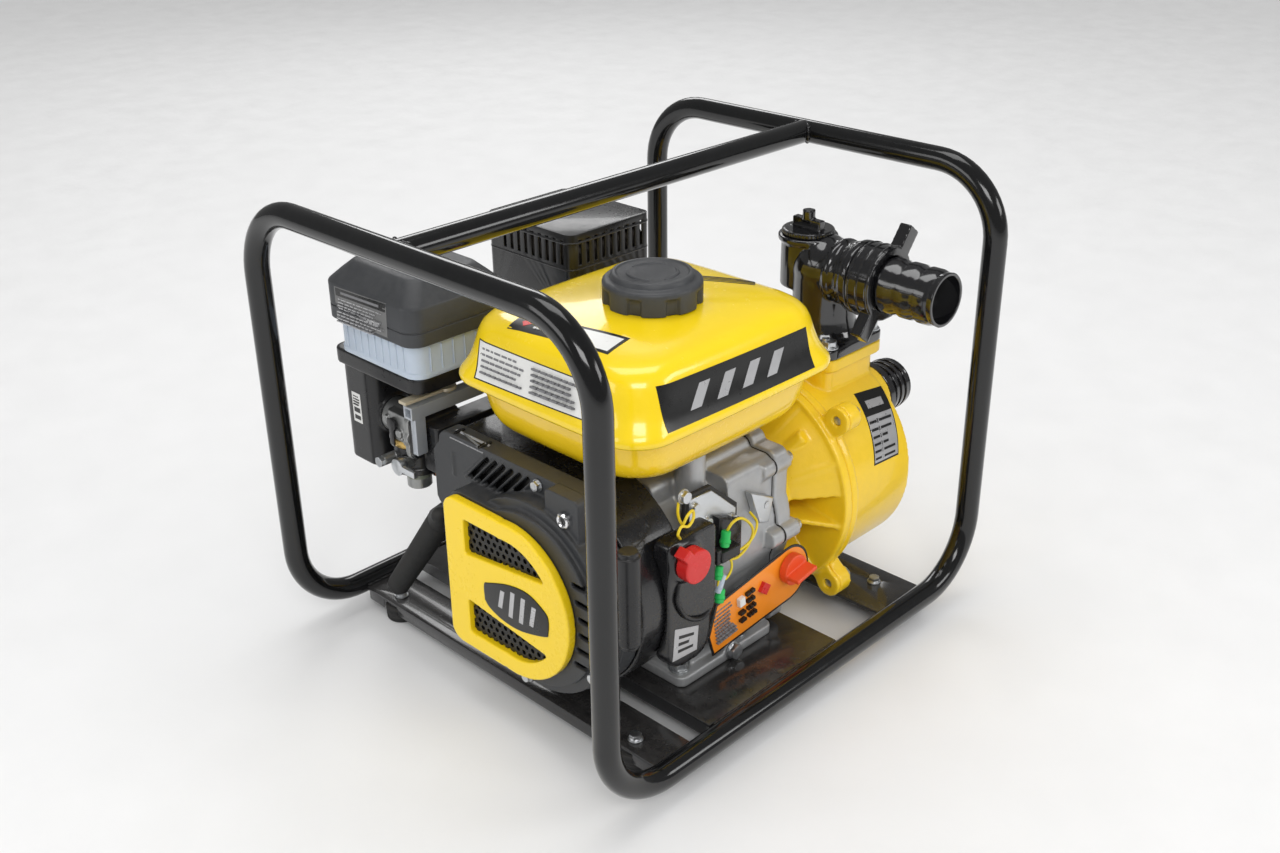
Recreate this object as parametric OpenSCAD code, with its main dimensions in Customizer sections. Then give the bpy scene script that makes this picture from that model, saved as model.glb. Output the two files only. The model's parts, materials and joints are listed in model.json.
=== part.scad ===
// Portable fire pump: a small four-stroke engine and a self-priming centrifugal pump in a tube cage.
// Millimetres. The origin is the centre of the footprint on the ground, +Z is up, +X runs from the
// recoil starter to the pump, and +Y runs from the fuel tank side to the cylinder head side.

/* [Cage] */
// Distance between the two hoops, centre to centre
hoop_spacing = 496; // [490:2:520]
// Distance between the two side rails, centre to centre
rail_spacing = 418; // [418:2:440]
// Height of the hoop tops, at the tube's centre
hoop_height = 428; // [426:1:440]
// Outside diameter of the cage tube
tube_d = 22; // [20:0.5:22]
// Wall of the cage tube
tube_wall = 2; // [1.5:0.1:3]
// Centreline radius of the cage bends
bend_r = 65; // [55:1:70]

/* [Feet] */
// Distance between foot bolts along the cage
foot_spacing_x = 336; // [332:1:340]
// Distance between foot bolts across the cage
foot_spacing_y = 320; // [300:2:330]
// Height of the rubber feet
foot_height = 19; // [17:0.5:20]

/* [Engine] */
// Height of the crankshaft above the ground
crank_z = 134; // [133:0.5:136]
// Cylinder bore
bore_d = 68; // [64:1:70]
// Piston stroke
stroke = 54; // [48:1:54]
// Lean of the cylinder above the horizontal
cylinder_lean = 25; // [24:0.5:26]

/* [Pump] */
// Outside diameter of the pump's round body
pump_d = 200; // [198:1:206]
// Diameter of the impeller
impeller_d = 124; // [110:1:126]
// Outside diameter of both hose barbs
barb_d = 51.6; // [50:0.1:52]
// Water passage through both hose barbs
port_d = 42; // [38:1:44]

/* [Hidden] */
$fn = 64;
hull_fn = 32;

// gaps
gap = 0.1;         // between fixed parts that sit inside one another
run_gap = 0.05;    // radial clearance of every running fit
eps = 0.01;        // overshoot of a cutting tool past a face

// cage
tube_r = tube_d / 2;
hoop_x = hoop_spacing / 2;
rail_y = rail_spacing / 2;
rail_z = 22;
plate_t = 3;
plate_half = rail_y - tube_r - gap;
low_plate_top = foot_height + plate_t;
engine_plate_top = 28;
foot_r = 16;

// crankshaft axis and the engine's places along it
crank_y = -68;
case_x0 = -96;
case_x1 = 30;
cover_x1 = 54;
case_wall = 8;
bore_x = -31;
base_y0 = -148;
base_y1 = 42;
foot_top = engine_plate_top + 10;
shaft_r = 10;
journal_r = 12.5;
mount_x = [-86, -10.5];
mount_y = [-134, 28];

case_r = 76;
timing_x0 = -30;
post_x = -58;
post_y = -120;
pocket_r = 11;
// Y and Z of the six bolts of the crankcase cover, each in its own lug
cover_lug_r = 9;
cover_bolts = [[-134, 70], [-147, 130], [-134, 194], [2, 72], [13, 134], [2, 190]];

// oil filler and drain
filler_x = 42;
filler_y = -152;
filler_z = 92;
drain_x = -32;
drain_z = 37.5;

// cylinder
deck_s = 128;
head_s = 166;
rocker_s = 198;
piston_top_s = deck_s - 2;
piston_h = 36;

// camshaft: two-to-one gears, both of the same module
gear_module = 2;
crank_teeth = 18;
cam_teeth = 36;
cam_distance = gear_module * (crank_teeth + cam_teeth) / 2;
cam_y = crank_y + cam_distance * sin(cylinder_lean);
cam_z = crank_z - cam_distance * cos(cylinder_lean);
gear_x0 = 12;
gear_w = 10;

// blower and recoil starter
blower_x0 = -160;
blower_x1 = -104;
blower_r = 95;
shroud_y1 = 77;
shroud_top = crank_z + 93;
recoil_face = -200;
recoil_r = 92;
recoil_base = -178;
recoil_step = -194;
recoil_top = 240;
recoil_drum_r = 88;
recoil_boss_r = 79;
grille_y = -55;
grille_z = 131;
grille_r = 72;
grille_flat_y = 26;
grille_t = 9;

// starter rope: it leaves the pulley's groove level and goes out through the rim
pulley_x0 = recoil_face + 8;
pulley_groove_r = 36;
rope_x = pulley_x0 + 7;
rope_z = crank_z + pulley_groove_r + 3;
rope_exit_y = -158;
eyelet_x = -190;
eyelet_y = -107.5;
eyelet_z = crank_z + 87;
// radius, angle and face of each bolt of the recoil starter
recoil_bolts = [[97, 87, recoil_base], [85.4, 212, recoil_step], [85.4, 277, recoil_step]];

// ports in the cylinder head, and the carburettor in front of them
port_y = 68;
port_z = 198;
carb_x = -155;
carb_y = 130;
carb_z = 216;
carb_bore_r = 10;
carb_barrel_r = 17;
carb_flange_y = carb_y - 26;
carb_flange_t = 6;
carb_flange_hx = 27;
carb_mouth_y = carb_y + 28;
bowl_r = 21;
bowl_top = 195;
bowl_bottom = 174;
valve_z = 184;

// throttle bar above the carburettor's flange
bar_y = [92, carb_flange_y - 0.2];
bar_z = [239, 251];
throttle_x = carb_x + 14;
throttle_y = 98;

// muffler
muffler_x = [1, 96];
muffler_y = [83, 191];
muffler_z = [286, 354];

// stop switch on its box
switch_x = -116;
switch_y = -160;
switch_z = 176;

// outlet elbow and its hose barb
elbow_end_y = -124;
elbow_r = 30;
filler_top = 357;
priming_r = 20;
barb_end_y = -210;

// fuel tank
tank_x = [-175, 84];
tank_y = [-174, 60];
seam_z = 292;
seam_t = 5;
tank_top = 352;
tank_bottom = 240;
cap_x = -46;
cap_y = -66;
cap_top = 380;

// air cleaner
cleaner_x = [-190, -80];
cleaner_y = [76, 204];
cleaner_body_z = 278;
cleaner_cover_z = 311;
cleaner_top = 364;

// pump
flange_x = 104;
casing_x1 = 215;
pump_r = pump_d / 2;
flange_r = 106;
lug_circle_r = 121;
lug_r = 13;
lug_t = 16;
neck_x = 174;
neck_y = -78;
neck_size = 84;
neck_top = 256;
outlet_z = 329;
barb_r = barb_d / 2;
port_r = port_d / 2;
suction_y = -102;
suction_z = 191;
stub_r = 24.5;

// ---------- helpers ----------

// Extrudes a Y-Z outline along X, from x0 to x1.
module along_x(x0, x1) {
    translate([x0, 0, 0])
        rotate([90, 0, 90])
            linear_extrude(x1 - x0)
                children();
}

// Extrudes an X-Z outline along Y, from y0 to y1.
module along_y(y0, y1) {
    translate([0, y1, 0])
        rotate([90, 0, 0])
            linear_extrude(y1 - y0)
                children();
}

module rod_x(x0, x1, y, z, r) {
    translate([x0, y, z])
        rotate([0, 90, 0])
            cylinder(h = x1 - x0, r = r);
}

module rod_y(x, y0, y1, z, r) {
    translate([x, y1, z])
        rotate([90, 0, 0])
            cylinder(h = y1 - y0, r = r);
}

module rod_z(x, y, z0, z1, r) {
    translate([x, y, z0])
        cylinder(h = z1 - z0, r = r);
}

module block(x, y, z) {
    translate([x[0], y[0], z[0]])
        cube([x[1] - x[0], y[1] - y[0], z[1] - z[0]]);
}

// Rectangle between two corners with round corners of radius r.
module round_rect(x, y, r) {
    translate([x[0] + r, y[0]])
        square([x[1] - x[0] - 2 * r, y[1] - y[0]]);
    translate([x[0], y[0] + r])
        square([x[1] - x[0], y[1] - y[0] - 2 * r]);
    for (cx = [x[0] + r, x[1] - r], cy = [y[0] + r, y[1] - r])
        translate([cx, cy])
            circle(r);
}

module round_box(x, y, z, r) {
    translate([0, 0, z[0]])
        linear_extrude(z[1] - z[0])
            round_rect(x, y, r);
}

// Hexagon head or nut of a given width across flats, standing on Z = 0.
module hex_head(flats, height) {
    cylinder(h = height, d = flats / cos(30), $fn = 6);
}

// Bolt along +Z with its washer resting on Z = 0 and its shank going down.
module bolt(thread_d, length) {
    washer_t = 1.5;
    cylinder(h = washer_t, r = thread_d * 1.1);
    translate([0, 0, washer_t])
        hex_head(thread_d * 1.6, thread_d * 0.65);
    translate([0, 0, -length])
        cylinder(h = length, d = thread_d);
}

module tube_run(length) {
    difference() {
        cylinder(h = length, r = tube_r);
        translate([0, 0, -eps])
            cylinder(h = length + 2 * eps, r = tube_r - tube_wall);
    }
}

// Quarter bend in the X-Y plane, centred on the origin.
module tube_bend() {
    rotate_extrude(angle = 90)
        translate([bend_r, 0])
            difference() {
                circle(tube_r);
                circle(tube_r - tube_wall);
            }
}

// Moves a shape drawn along +Z from the crank axis so that it follows the cylinder's lean.
module on_cylinder_axis(x = bore_x) {
    translate([x, crank_y, crank_z])
        rotate([cylinder_lean - 90, 0, 0])
            children();
}

// Gear outline with straight-sided teeth and room between them.
function gear_outline(teeth) = [
    for (i = [0 : teeth - 1])
        let (
            step = 360 / teeth,
            pitch_r = gear_module * teeth / 2,
            tip_r = pitch_r + 0.8 * gear_module,
            root_r = pitch_r - 1.15 * gear_module
        )
        for (corner = [[-0.27, root_r], [-0.09, tip_r], [0.09, tip_r], [0.27, root_r]])
            let (a = (i + corner[0]) * step)
                [corner[1] * cos(a), corner[1] * sin(a)]
];

// ---------- cage ----------

module hoop() {
    leg_z = rail_z + bend_r;
    leg_len = hoop_height - rail_z - 2 * bend_r;
    for (side = [-1, 1]) {
        translate([0, side * rail_y, leg_z])
            tube_run(leg_len);
        // shoulder between a leg and the hoop's top
        translate([0, side * (rail_y - bend_r), hoop_height - bend_r])
            rotate([90, 0, side > 0 ? 90 : -90])
                tube_bend();
    }
    translate([0, rail_y - bend_r, hoop_height])
        rotate([90, 0, 0])
            tube_run(2 * (rail_y - bend_r));
}

module frame_loop() {
    rail_len = 2 * (hoop_x - bend_r);
    color("#141414") {
        for (end = [-1, 1])
            translate([end * hoop_x, 0, 0])
                hoop();
        for (side = [-1, 1]) {
            translate([-rail_len / 2, side * rail_y, rail_z])
                rotate([0, 90, 0])
                    tube_run(rail_len);
            // bends between the rail and the two legs
            translate([hoop_x - bend_r, side * rail_y, rail_z + bend_r])
                rotate([-90, 0, 0])
                    tube_bend();
            translate([-hoop_x + bend_r, side * rail_y, rail_z + bend_r])
                rotate([-90, 0, 180])
                    mirror([0, 0, 1])
                        tube_bend();
        }
    }
}

module top_bar() {
    bar_y = 8;
    bar_r = tube_r - 0.15;
    color("#141414")
        difference() {
            rod_x(-hoop_x, hoop_x, bar_y, hoop_height, bar_r);
            rod_x(-hoop_x - 1, hoop_x + 1, bar_y, hoop_height, bar_r - tube_wall);
            for (end = [-1, 1])
                rod_y(end * hoop_x, bar_y - 2 * tube_d, bar_y + 2 * tube_d, hoop_height, tube_r + gap / 2);
        }
}

module cross_plate(x, top, lip_x, lip_h, holes, hole_r) {
    difference() {
        union() {
            block(x, [-plate_half, plate_half], [top - plate_t, top]);
            for (lip = lip_x)
                block([lip, lip + plate_t], [-plate_half + 4, plate_half - 4], [top - lip_h, top]);
        }
        for (hole = holes) {
            rod_z(hole[0], hole[1], top - plate_t - 1, top + 1, hole_r);
            // the lip is notched round a foot
            rod_z(hole[0], hole[1], top - lip_h - 1, top - plate_t, foot_r + 1);
        }
    }
}

module front_cross_plate() {
    hole_x = -foot_spacing_x / 2;
    color("#161616")
        cross_plate([-182, -139], low_plate_top, [-182], 12,
            [for (side = [-1, 1]) [hole_x, side * foot_spacing_y / 2]], 3.3);
}

module rear_cross_plate() {
    hole_x = foot_spacing_x / 2;
    color("#161616")
        cross_plate([126, 192], low_plate_top, [189], 12,
            [for (side = [-1, 1]) [hole_x, side * foot_spacing_y / 2]], 3.3);
}

module engine_base_plate() {
    color("#161616")
        cross_plate([-118, 55], engine_plate_top, [-118, 52], 14,
            [for (x = mount_x, y = mount_y) [x, y]], 4.5);
}

module rubber_feet() {
    color("#202020")
        for (end = [-1, 1], side = [-1, 1])
            translate([end * foot_spacing_x / 2, side * foot_spacing_y / 2, 0])
                difference() {
                    union() {
                        cylinder(h = foot_height - 4, r = foot_r);
                        cylinder(h = foot_height, r = foot_r - 3);
                    }
                    translate([0, 0, 4])
                        cylinder(h = foot_height, r = 3 + gap);
                }
}

module foot_bolts() {
    color("#b9bcc0")
        for (end = [-1, 1], side = [-1, 1])
            translate([end * foot_spacing_x / 2, side * foot_spacing_y / 2, low_plate_top])
                bolt(6, 14);
}

module engine_mount_bolts() {
    color("#b9bcc0")
        for (x = mount_x, y = mount_y)
            translate([x, y, foot_top]) {
                bolt(8, 22);
                translate([0, 0, engine_plate_top - plate_t - foot_top - 7])
                    hex_head(13, 7);
            }
}

// ---------- engine ----------

// Outline of the crankcase across the crankshaft.
module case_outline(inset = 0) {
    translate([crank_y, crank_z])
        circle(case_r - inset);
    round_rect([-138 + inset, 4 - inset], [foot_top - 2 + inset, crank_z], 8);
    round_rect([-112 + inset, -4 - inset], [crank_z, 214 - inset], 8);
}

// Outline of the taller corner that holds the timing gears, on the tank side.
module timing_outline(inset = 0) {
    round_rect([-138 + inset, crank_y - inset], [crank_z - 20 + inset, 206 - inset], 9);
}

module barrel_space(extra) {
    on_cylinder_axis()
        cylinder(h = deck_s + 1, r = bore_d / 2 + extra);
}

module crankcase() {
    fin_count = 6;
    fin_pitch = 9;
    color("#a7a9a8")
        difference() {
            union() {
                along_x(case_x0, case_x1)
                    case_outline();
                round_box([case_x0 - 2, case_x1 - 4], [base_y0, base_y1], [engine_plate_top, foot_top], 8);
                on_cylinder_axis() {
                    translate([0, 0, 50])
                        cylinder(h = deck_s - 50, r = bore_d / 2 + 9);
                    for (i = [0 : fin_count - 1])
                        translate([-50, -48, deck_s - 4 - i * fin_pitch])
                            cube([100, 96, 2.5]);
                }
                rod_y(drain_x, base_y0, base_y0 + 24, drain_z, 9);
                along_x(timing_x0, case_x1)
                    timing_outline(0);
                // post under the fuel tank
                rod_z(post_x, post_y, crank_z + 20, tank_bottom - 3, 13);
                for (b = cover_bolts)
                    rod_x(case_x1 - 16, case_x1, b[0], b[1], cover_lug_r);
            }
            difference() {
                union() {
                    along_x(case_x0 + case_wall, case_x1 + 1)
                        case_outline(case_wall);
                    along_x(timing_x0 + case_wall, case_x1 + 1)
                        timing_outline(case_wall);
                }
                // walls round the pockets for the mounting bolts
                for (x = mount_x)
                    rod_z(x, mount_y[0], foot_top - 1, foot_top + 22, pocket_r + 6);
            }
            for (x = mount_x)
                rod_z(x, mount_y[0], foot_top, foot_top + 14, pocket_r);
            for (b = cover_bolts)
                rod_x(case_x1 - 12, case_x1 + 1, b[0], b[1], 3 + gap);
            barrel_space(0);
            rod_x(case_x0 - 1, case_x1, crank_y, crank_z, 24);
            rod_x(case_x0 + 2, case_x1, cam_y, cam_z, 8 + run_gap);
            for (x = mount_x, y = mount_y)
                rod_z(x, y, engine_plate_top - 1, foot_top + 1, 4.5);
            // hollow under the base so that only its rim and feet touch the plate
            block([case_x0 + 22, case_x1 - 34], [base_y0 + 34, base_y1 - 34],
                [engine_plate_top - 1, engine_plate_top + 4]);
            rod_y(drain_x, base_y0 - 1, base_y0 + 22, drain_z, 4 + gap);
        }
}

module crankcase_cover() {
    color("#9c9e9d")
        difference() {
            union() {
                along_x(case_x1, cover_x1 - 6)
                    case_outline(-3);
                along_x(case_x1, cover_x1 - 6)
                    timing_outline(-3);
                rod_x(cover_x1 - 7, cover_x1, crank_y, crank_z, 70);
                for (b = cover_bolts)
                    rod_x(case_x1, cover_x1 - 2, b[0], b[1], cover_lug_r);
                // filler neck that takes the dipstick
                rod_y(filler_x, filler_y, crank_y, filler_z, 11);
            }
            rod_y(filler_x, filler_y - 1, filler_y + 30, filler_z, 7 + run_gap);
            rod_x(case_x1 - 1, cover_x1 + 1, crank_y, crank_z, 24);
            rod_x(case_x1 - 1, cover_x1 - 5, cam_y, cam_z, 8 + run_gap);
            along_x(case_x1 - 1, case_x1 + 4)
                difference() {
                    case_outline(case_wall + 1);
                    translate([cam_y, cam_z])
                        circle(15);
                }
            for (b = cover_bolts)
                rod_x(case_x1 - 1, cover_x1 + 1, b[0], b[1], 3 + gap);
        }
}

module housing_bolts() {
    color("#c3c5c8") {
        for (b = cover_bolts)
            translate([cover_x1 - 2, b[0], b[1]])
                rotate([0, 90, 0])
                    bolt(6, cover_x1 - case_x1 + 8);
        for (b = recoil_bolts)
            translate([b[2], crank_y + b[0] * cos(b[1]), crank_z + b[0] * sin(b[1])])
                rotate([0, -90, 0])
                    bolt(5, 8);
    }
}

module main_bearings() {
    color("#c9cbd0")
        for (x = [case_x0 + gap, case_x1 + gap])
            difference() {
                rod_x(x, x + 12, crank_y, crank_z, 24 - gap);
                rod_x(x - 1, x + 13, crank_y, crank_z, journal_r + run_gap);
            }
}

module cylinder_head() {
    fin_count = 4;
    fin_pitch = 9;
    color("#a7a9a8")
        difference() {
            union() {
                on_cylinder_axis() {
                    translate([-44, -42, deck_s])
                        cube([88, 84, head_s - deck_s]);
                    for (i = [0 : fin_count - 1])
                        translate([-51, -48, deck_s + i * fin_pitch])
                            cube([102, 96, 2.5]);
                }
                // intake port on the recoil side and exhaust port on the pump side
                rod_x(bore_x - 56, bore_x, port_y, port_z, 17);
                rod_x(bore_x, bore_x + 54, port_y, port_z, 17);
            }
            on_cylinder_axis()
                translate([0, 0, deck_s - 1])
                    cylinder(h = 9, r = bore_d / 2 - 4);
            rod_x(bore_x - 57, bore_x - 20, port_y, port_z, 11);
            rod_x(bore_x + 20, bore_x + 55, port_y, port_z, 11);
            plug_axis()
                translate([0, 0, -1])
                    cylinder(h = 40, r = 7 + gap);
        }
}

module rocker_cover() {
    color("#8f9294")
        difference() {
            on_cylinder_axis()
                difference() {
                    translate([0, 0, head_s])
                        linear_extrude(rocker_s - head_s)
                            round_rect([-42, 42], [-38, 38], 10);
                    translate([0, 0, head_s - 1])
                        linear_extrude(rocker_s - head_s - 2)
                            round_rect([-39, 39], [-35, 35], 8);
                }
            rod_x(bore_x - 57, bore_x + 57, port_y, port_z, 17 + gap);
        }
}

// The spark plug points down and towards the recoil side, along +Z of this frame.
module plug_axis() {
    translate([-66, 82, 170])
        rotate([-20, -125, 0])
            children();
}

module spark_plug() {
    color("#e8e6df")
        plug_axis() {
            translate([0, 0, 8])
                cylinder(h = 24, r = 7);
            translate([0, 0, 32])
                hex_head(21, 10);
            translate([0, 0, 42])
                cylinder(h = 34, r = 5);
        }
}

module plug_cap() {
    color("#23262a")
        difference() {
            union() {
                plug_axis()
                    translate([0, 0, 46])
                        cylinder(h = 60, r1 = 10, r2 = 13);
                hull() {
                    plug_axis()
                        translate([0, 0, 102])
                            sphere(13, $fn = hull_fn);
                    translate([-176, 150, 44])
                        sphere(11, $fn = hull_fn);
                }
                hull() {
                    plug_axis()
                        translate([0, 0, 102])
                            sphere(13, $fn = hull_fn);
                    translate([-170, 84, 142])
                        sphere(8, $fn = hull_fn);
                }
            }
            plug_axis()
                translate([0, 0, 45])
                    cylinder(h = 31 + gap, r = 5 + gap);
        }
}

// ---------- running gear ----------

module crankshaft() {
    throw_r = stroke / 2;
    web_t = 12;
    web_r = 38;
    color("#8c9096") {
        difference() {
            union() {
                rod_x(blower_x0 + 4, bore_x - 12, crank_y, crank_z, shaft_r);
                rod_x(case_x0 - 4, bore_x - 12, crank_y, crank_z, journal_r);
                rod_x(bore_x + 12, cover_x1 - 4, crank_y, crank_z, journal_r);
                rod_x(bore_x + 12, flange_x + 44, crank_y, crank_z, shaft_r);
                // crank webs with their counterweights, and the crankpin between them
                on_cylinder_axis()
                    for (side = [-1, 1])
                        translate([side * (web_t / 2 + 12), 0, 0])
                            rotate([0, 90, 0])
                                translate([0, 0, -web_t / 2])
                                    difference() {
                                        cylinder(h = web_t, r = web_r);
                                        translate([-web_r - 1, 15, -1])
                                            cube([web_r + 1, web_r, web_t + 2]);
                                        translate([-web_r - 1, -15 - web_r, -1])
                                            cube([web_r + 1, web_r, web_t + 2]);
                                    }
                on_cylinder_axis()
                    translate([-13, 0, throw_r])
                        rotate([0, 90, 0])
                            cylinder(h = 26, r = 14);
                along_x(gear_x0, gear_x0 + gear_w)
                    translate([crank_y, crank_z])
                        rotate(cylinder_lean - 90)
                            polygon(gear_outline(crank_teeth));
            }
            // tapped end that holds the impeller
            rod_x(flange_x + 30, flange_x + 45, crank_y, crank_z, 4);
        }
    }
}

module camshaft() {
    lobe_x = [-60, -44, -20, -4];
    color("#777b80") {
        rod_x(case_x0 + 2 + gap, case_x1 + 14, cam_y, cam_z, 8);
        for (i = [0 : 3])
            along_x(lobe_x[i], lobe_x[i] + 8)
                translate([cam_y, cam_z]) {
                    circle(11);
                    rotate(i * 55)
                        translate([5, 0])
                            circle(8.5);
                }
        along_x(gear_x0, gear_x0 + gear_w)
            translate([cam_y, cam_z])
                rotate(cylinder_lean + 90 + 180 / cam_teeth)
                    polygon(gear_outline(cam_teeth));
    }
}

module piston() {
    color("#d0d2d4")
        on_cylinder_axis()
            difference() {
                translate([0, 0, piston_top_s - piston_h])
                    cylinder(h = piston_h, r = bore_d / 2 - run_gap);
                translate([0, 0, piston_top_s - piston_h - 1])
                    cylinder(h = piston_h - 7, r = bore_d / 2 - 5);
                // grooves for three rings
                for (i = [0 : 2])
                    translate([0, 0, piston_top_s - 6 - i * 5])
                        difference() {
                            cylinder(h = 2, r = bore_d / 2 + 1);
                            translate([0, 0, -eps])
                                cylinder(h = 2 + 2 * eps, r = bore_d / 2 - 2);
                        }
            }
}

module flywheel() {
    fan_count = 16;
    disc_x0 = -142;
    disc_x1 = -124;
    color("#6d7175") {
        difference() {
            union() {
                rod_x(disc_x0, disc_x1, crank_y, crank_z, 62);
                rod_x(disc_x1, disc_x1 + 8, crank_y, crank_z, 68);
                for (i = [0 : fan_count - 1])
                    translate([0, crank_y, crank_z])
                        rotate([i * 360 / fan_count, 0, 0])
                            translate([disc_x0 - 8, 46, -1.5])
                                cube([disc_x1 - disc_x0 + 8, 32, 3]);
            }
            rod_x(disc_x0 - 1, disc_x1 + 9, crank_y, crank_z, shaft_r + gap);
        }
        // starter cup that the recoil pawls catch
        difference() {
            rod_x(disc_x0 - 18, disc_x0, crank_y, crank_z, 34);
            rod_x(disc_x0 - 19, disc_x0 - 3, crank_y, crank_z, 31);
            rod_x(disc_x0 - 4, disc_x0 + 1, crank_y, crank_z, shaft_r + gap);
        }
    }
}

// ---------- blower housing and recoil starter ----------

// Outline of the shroud across the crankshaft: round at the flywheel, square over the cylinder.
module shroud_outline(r) {
    inset = blower_r - r;
    top_z = crank_z + r - 1;
    translate([crank_y, crank_z])
        circle(r);
    polygon([
        [crank_y, top_z],
        [shroud_y1 - inset - 6, top_z],
        [shroud_y1 - inset, top_z - 8],
        [shroud_y1 - inset, crank_z + 34 + inset / 2],
        [crank_y + (r - 2) * cos(30), crank_z - (r - 2) * sin(30)],
        [crank_y, crank_z]
    ]);
}

module blower_housing() {
    skin = 4;
    color("#1b1c1e")
        difference() {
            along_x(blower_x0, blower_x1)
                shroud_outline(blower_r);
            along_x(blower_x0 - 1, blower_x1 - skin)
                shroud_outline(blower_r - skin);
            rod_x(blower_x1 - skin - 1, blower_x1 + 1, crank_y, crank_z, 55);
            // way for the cooling air to the cylinder fins
            along_x(blower_x1 - skin - 1, blower_x1 + 1)
                round_rect([2, shroud_y1 - 8], [crank_z + 20, crank_z + 84], 8);
        }
}

// Outline of the recoil starter's back plate, shrunk by inset.
module recoil_outline(inset) {
    shroud_outline(recoil_r - inset);
    round_rect([eyelet_y - 16 + inset, shroud_y1 - 11 - inset], [crank_z, recoil_top - inset], 12);
    grille_outline(2 - inset);
}

module recoil_housing() {
    skin = 4;
    slot_count = 6;
    leaf_count = 6;
    color("#3a3d41")
        difference() {
            union() {
                along_x(recoil_base, blower_x0)
                    recoil_outline(0);
                rod_x(recoil_step, recoil_base + 1, crank_y, crank_z, recoil_drum_r);
                rod_x(recoil_face, recoil_step + 1, crank_y, crank_z, recoil_boss_r);
                along_x(recoil_face, recoil_base + 1)
                    grille_outline(2);
                // lugs for the bolts that stand on the step
                for (b = recoil_bolts)
                    if (b[2] == recoil_step)
                        rod_x(recoil_step, recoil_base + 1,
                            crank_y + b[0] * cos(b[1]), crank_z + b[0] * sin(b[1]), 6.5);
                // rope guide block
                along_x(eyelet_x, recoil_base + 1)
                    round_rect([eyelet_y - 15, eyelet_y + 24], [eyelet_z - 21, eyelet_z + 20], 5);
            }
            along_x(recoil_base + skin, blower_x0 + 1)
                recoil_outline(skin);
            rod_x(recoil_step + skin, recoil_base + skin + 1, crank_y, crank_z, recoil_drum_r - skin);
            rod_x(recoil_face + skin, recoil_step + skin + 1, crank_y, crank_z, recoil_boss_r - skin);
            along_x(recoil_face + skin, recoil_base + skin + 1)
                grille_outline(2 - skin);
            grille_windows(recoil_face - 1, recoil_face + skin + 1, 1);
            // slanting slots over the cylinder side
            for (i = [0 : slot_count - 1])
                translate([0, 12 - i * 10.2, recoil_top - 21])
                    rotate([45, 0, 0])
                        block([recoil_base - 1, recoil_base + skin + 1], [-2.5, 2.5], [-19, 19]);
            // slots down the tank side
            for (i = [0 : leaf_count - 1])
                translate([0, crank_y - 72 + abs(i - 2.5) * 3, crank_z + 38 - i * 15])
                    block([recoil_face - 1, recoil_face + skin + 1], [-10, 10], [-2.5, 2.5]);
            rod_x(eyelet_x - 1, recoil_base + skin + 1, eyelet_y, eyelet_z, 5 + gap);
            rod_y(rope_x, rope_exit_y - 10, rope_exit_y + 22, rope_z, 6 + gap);
            for (b = recoil_bolts)
                rod_x(b[2] - 1, b[2] + 9, crank_y + b[0] * cos(b[1]), crank_z + b[0] * sin(b[1]), 2.5 + gap);
        }
    // post that carries the pulley
    color("#3a3d41")
        rod_x(recoil_face + skin, recoil_face + 26, crank_y, crank_z, 6);
}

// Outline of the D-shaped grille, grown by extra.
module grille_outline(extra) {
    translate([grille_y, grille_z])
        circle(grille_r + extra);
    round_rect([grille_y, grille_flat_y + extra],
        [grille_z - grille_r - extra, grille_z + grille_r + extra], 14);
}

// The two openings of the D-shaped grille, grown by extra.
module grille_windows(x0, x1, extra) {
    band = 16;
    left_y = grille_flat_y - 26 + extra;
    for (side = [-1, 1])
        along_x(x0, x1)
            intersection() {
                grille_outline(extra - band);
                polygon([
                    [left_y, grille_z + side * (23 - extra)],
                    [grille_y - grille_r, grille_z + side * (38 - extra)],
                    [grille_y - grille_r, grille_z + side * grille_r],
                    [left_y, grille_z + side * grille_r]
                ]);
            }
}

module grille_ring() {
    color("#f5d51c")
        difference() {
            along_x(recoil_face - grille_t, recoil_face)
                grille_outline(0);
            grille_windows(recoil_face - grille_t - 1, recoil_face + 1, 0);
        }
}

module grille_mesh() {
    color("#202326")
        grille_windows(recoil_face - 4, recoil_face - 2, -gap);
}

module rope_eyelets() {
    color("#d7d9dc") {
        // chrome ring in the guide block on the housing's face
        difference() {
            union() {
                rod_x(eyelet_x - 2, eyelet_x, eyelet_y, eyelet_z, 7);
                rod_x(eyelet_x - 1, recoil_base + 4, eyelet_y, eyelet_z, 5);
            }
            rod_x(eyelet_x - 3, recoil_base + 5, eyelet_y, eyelet_z, 3.2);
        }
        // bush in the rim, where the starter rope comes out
        difference() {
            rod_y(rope_x, rope_exit_y, rope_exit_y + 17, rope_z, 6);
            rod_y(rope_x, rope_exit_y - 1, rope_exit_y + 18, rope_z, 3.2);
        }
    }
}

module recoil_pulley() {
    color("#4c4f53")
        difference() {
            union() {
                rod_x(pulley_x0, pulley_x0 + 14, crank_y, crank_z, 46);
                rod_x(pulley_x0 + 14, pulley_x0 + 22, crank_y, crank_z, 16);
            }
            rod_x(pulley_x0 - 1, pulley_x0 + 23, crank_y, crank_z, 6 + run_gap);
            // rope groove
            difference() {
                rod_x(pulley_x0 + 4, pulley_x0 + 10, crank_y, crank_z, 47);
                rod_x(pulley_x0 + 3, pulley_x0 + 11, crank_y, crank_z, pulley_groove_r);
            }
        }
}

module starter_grip() {
    grip_y = rope_exit_y - 14;
    color("#1d1e20") {
        rod_y(rope_x, grip_y, rope_exit_y + 14, rope_z, 2.5);
        rod_z(rope_x, grip_y, rope_z - 40, rope_z + 40, 10);
        rod_z(rope_x, grip_y, rope_z - 44, rope_z + 44, 8);
    }
}

// ---------- carburettor, air cleaner, muffler ----------

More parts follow.
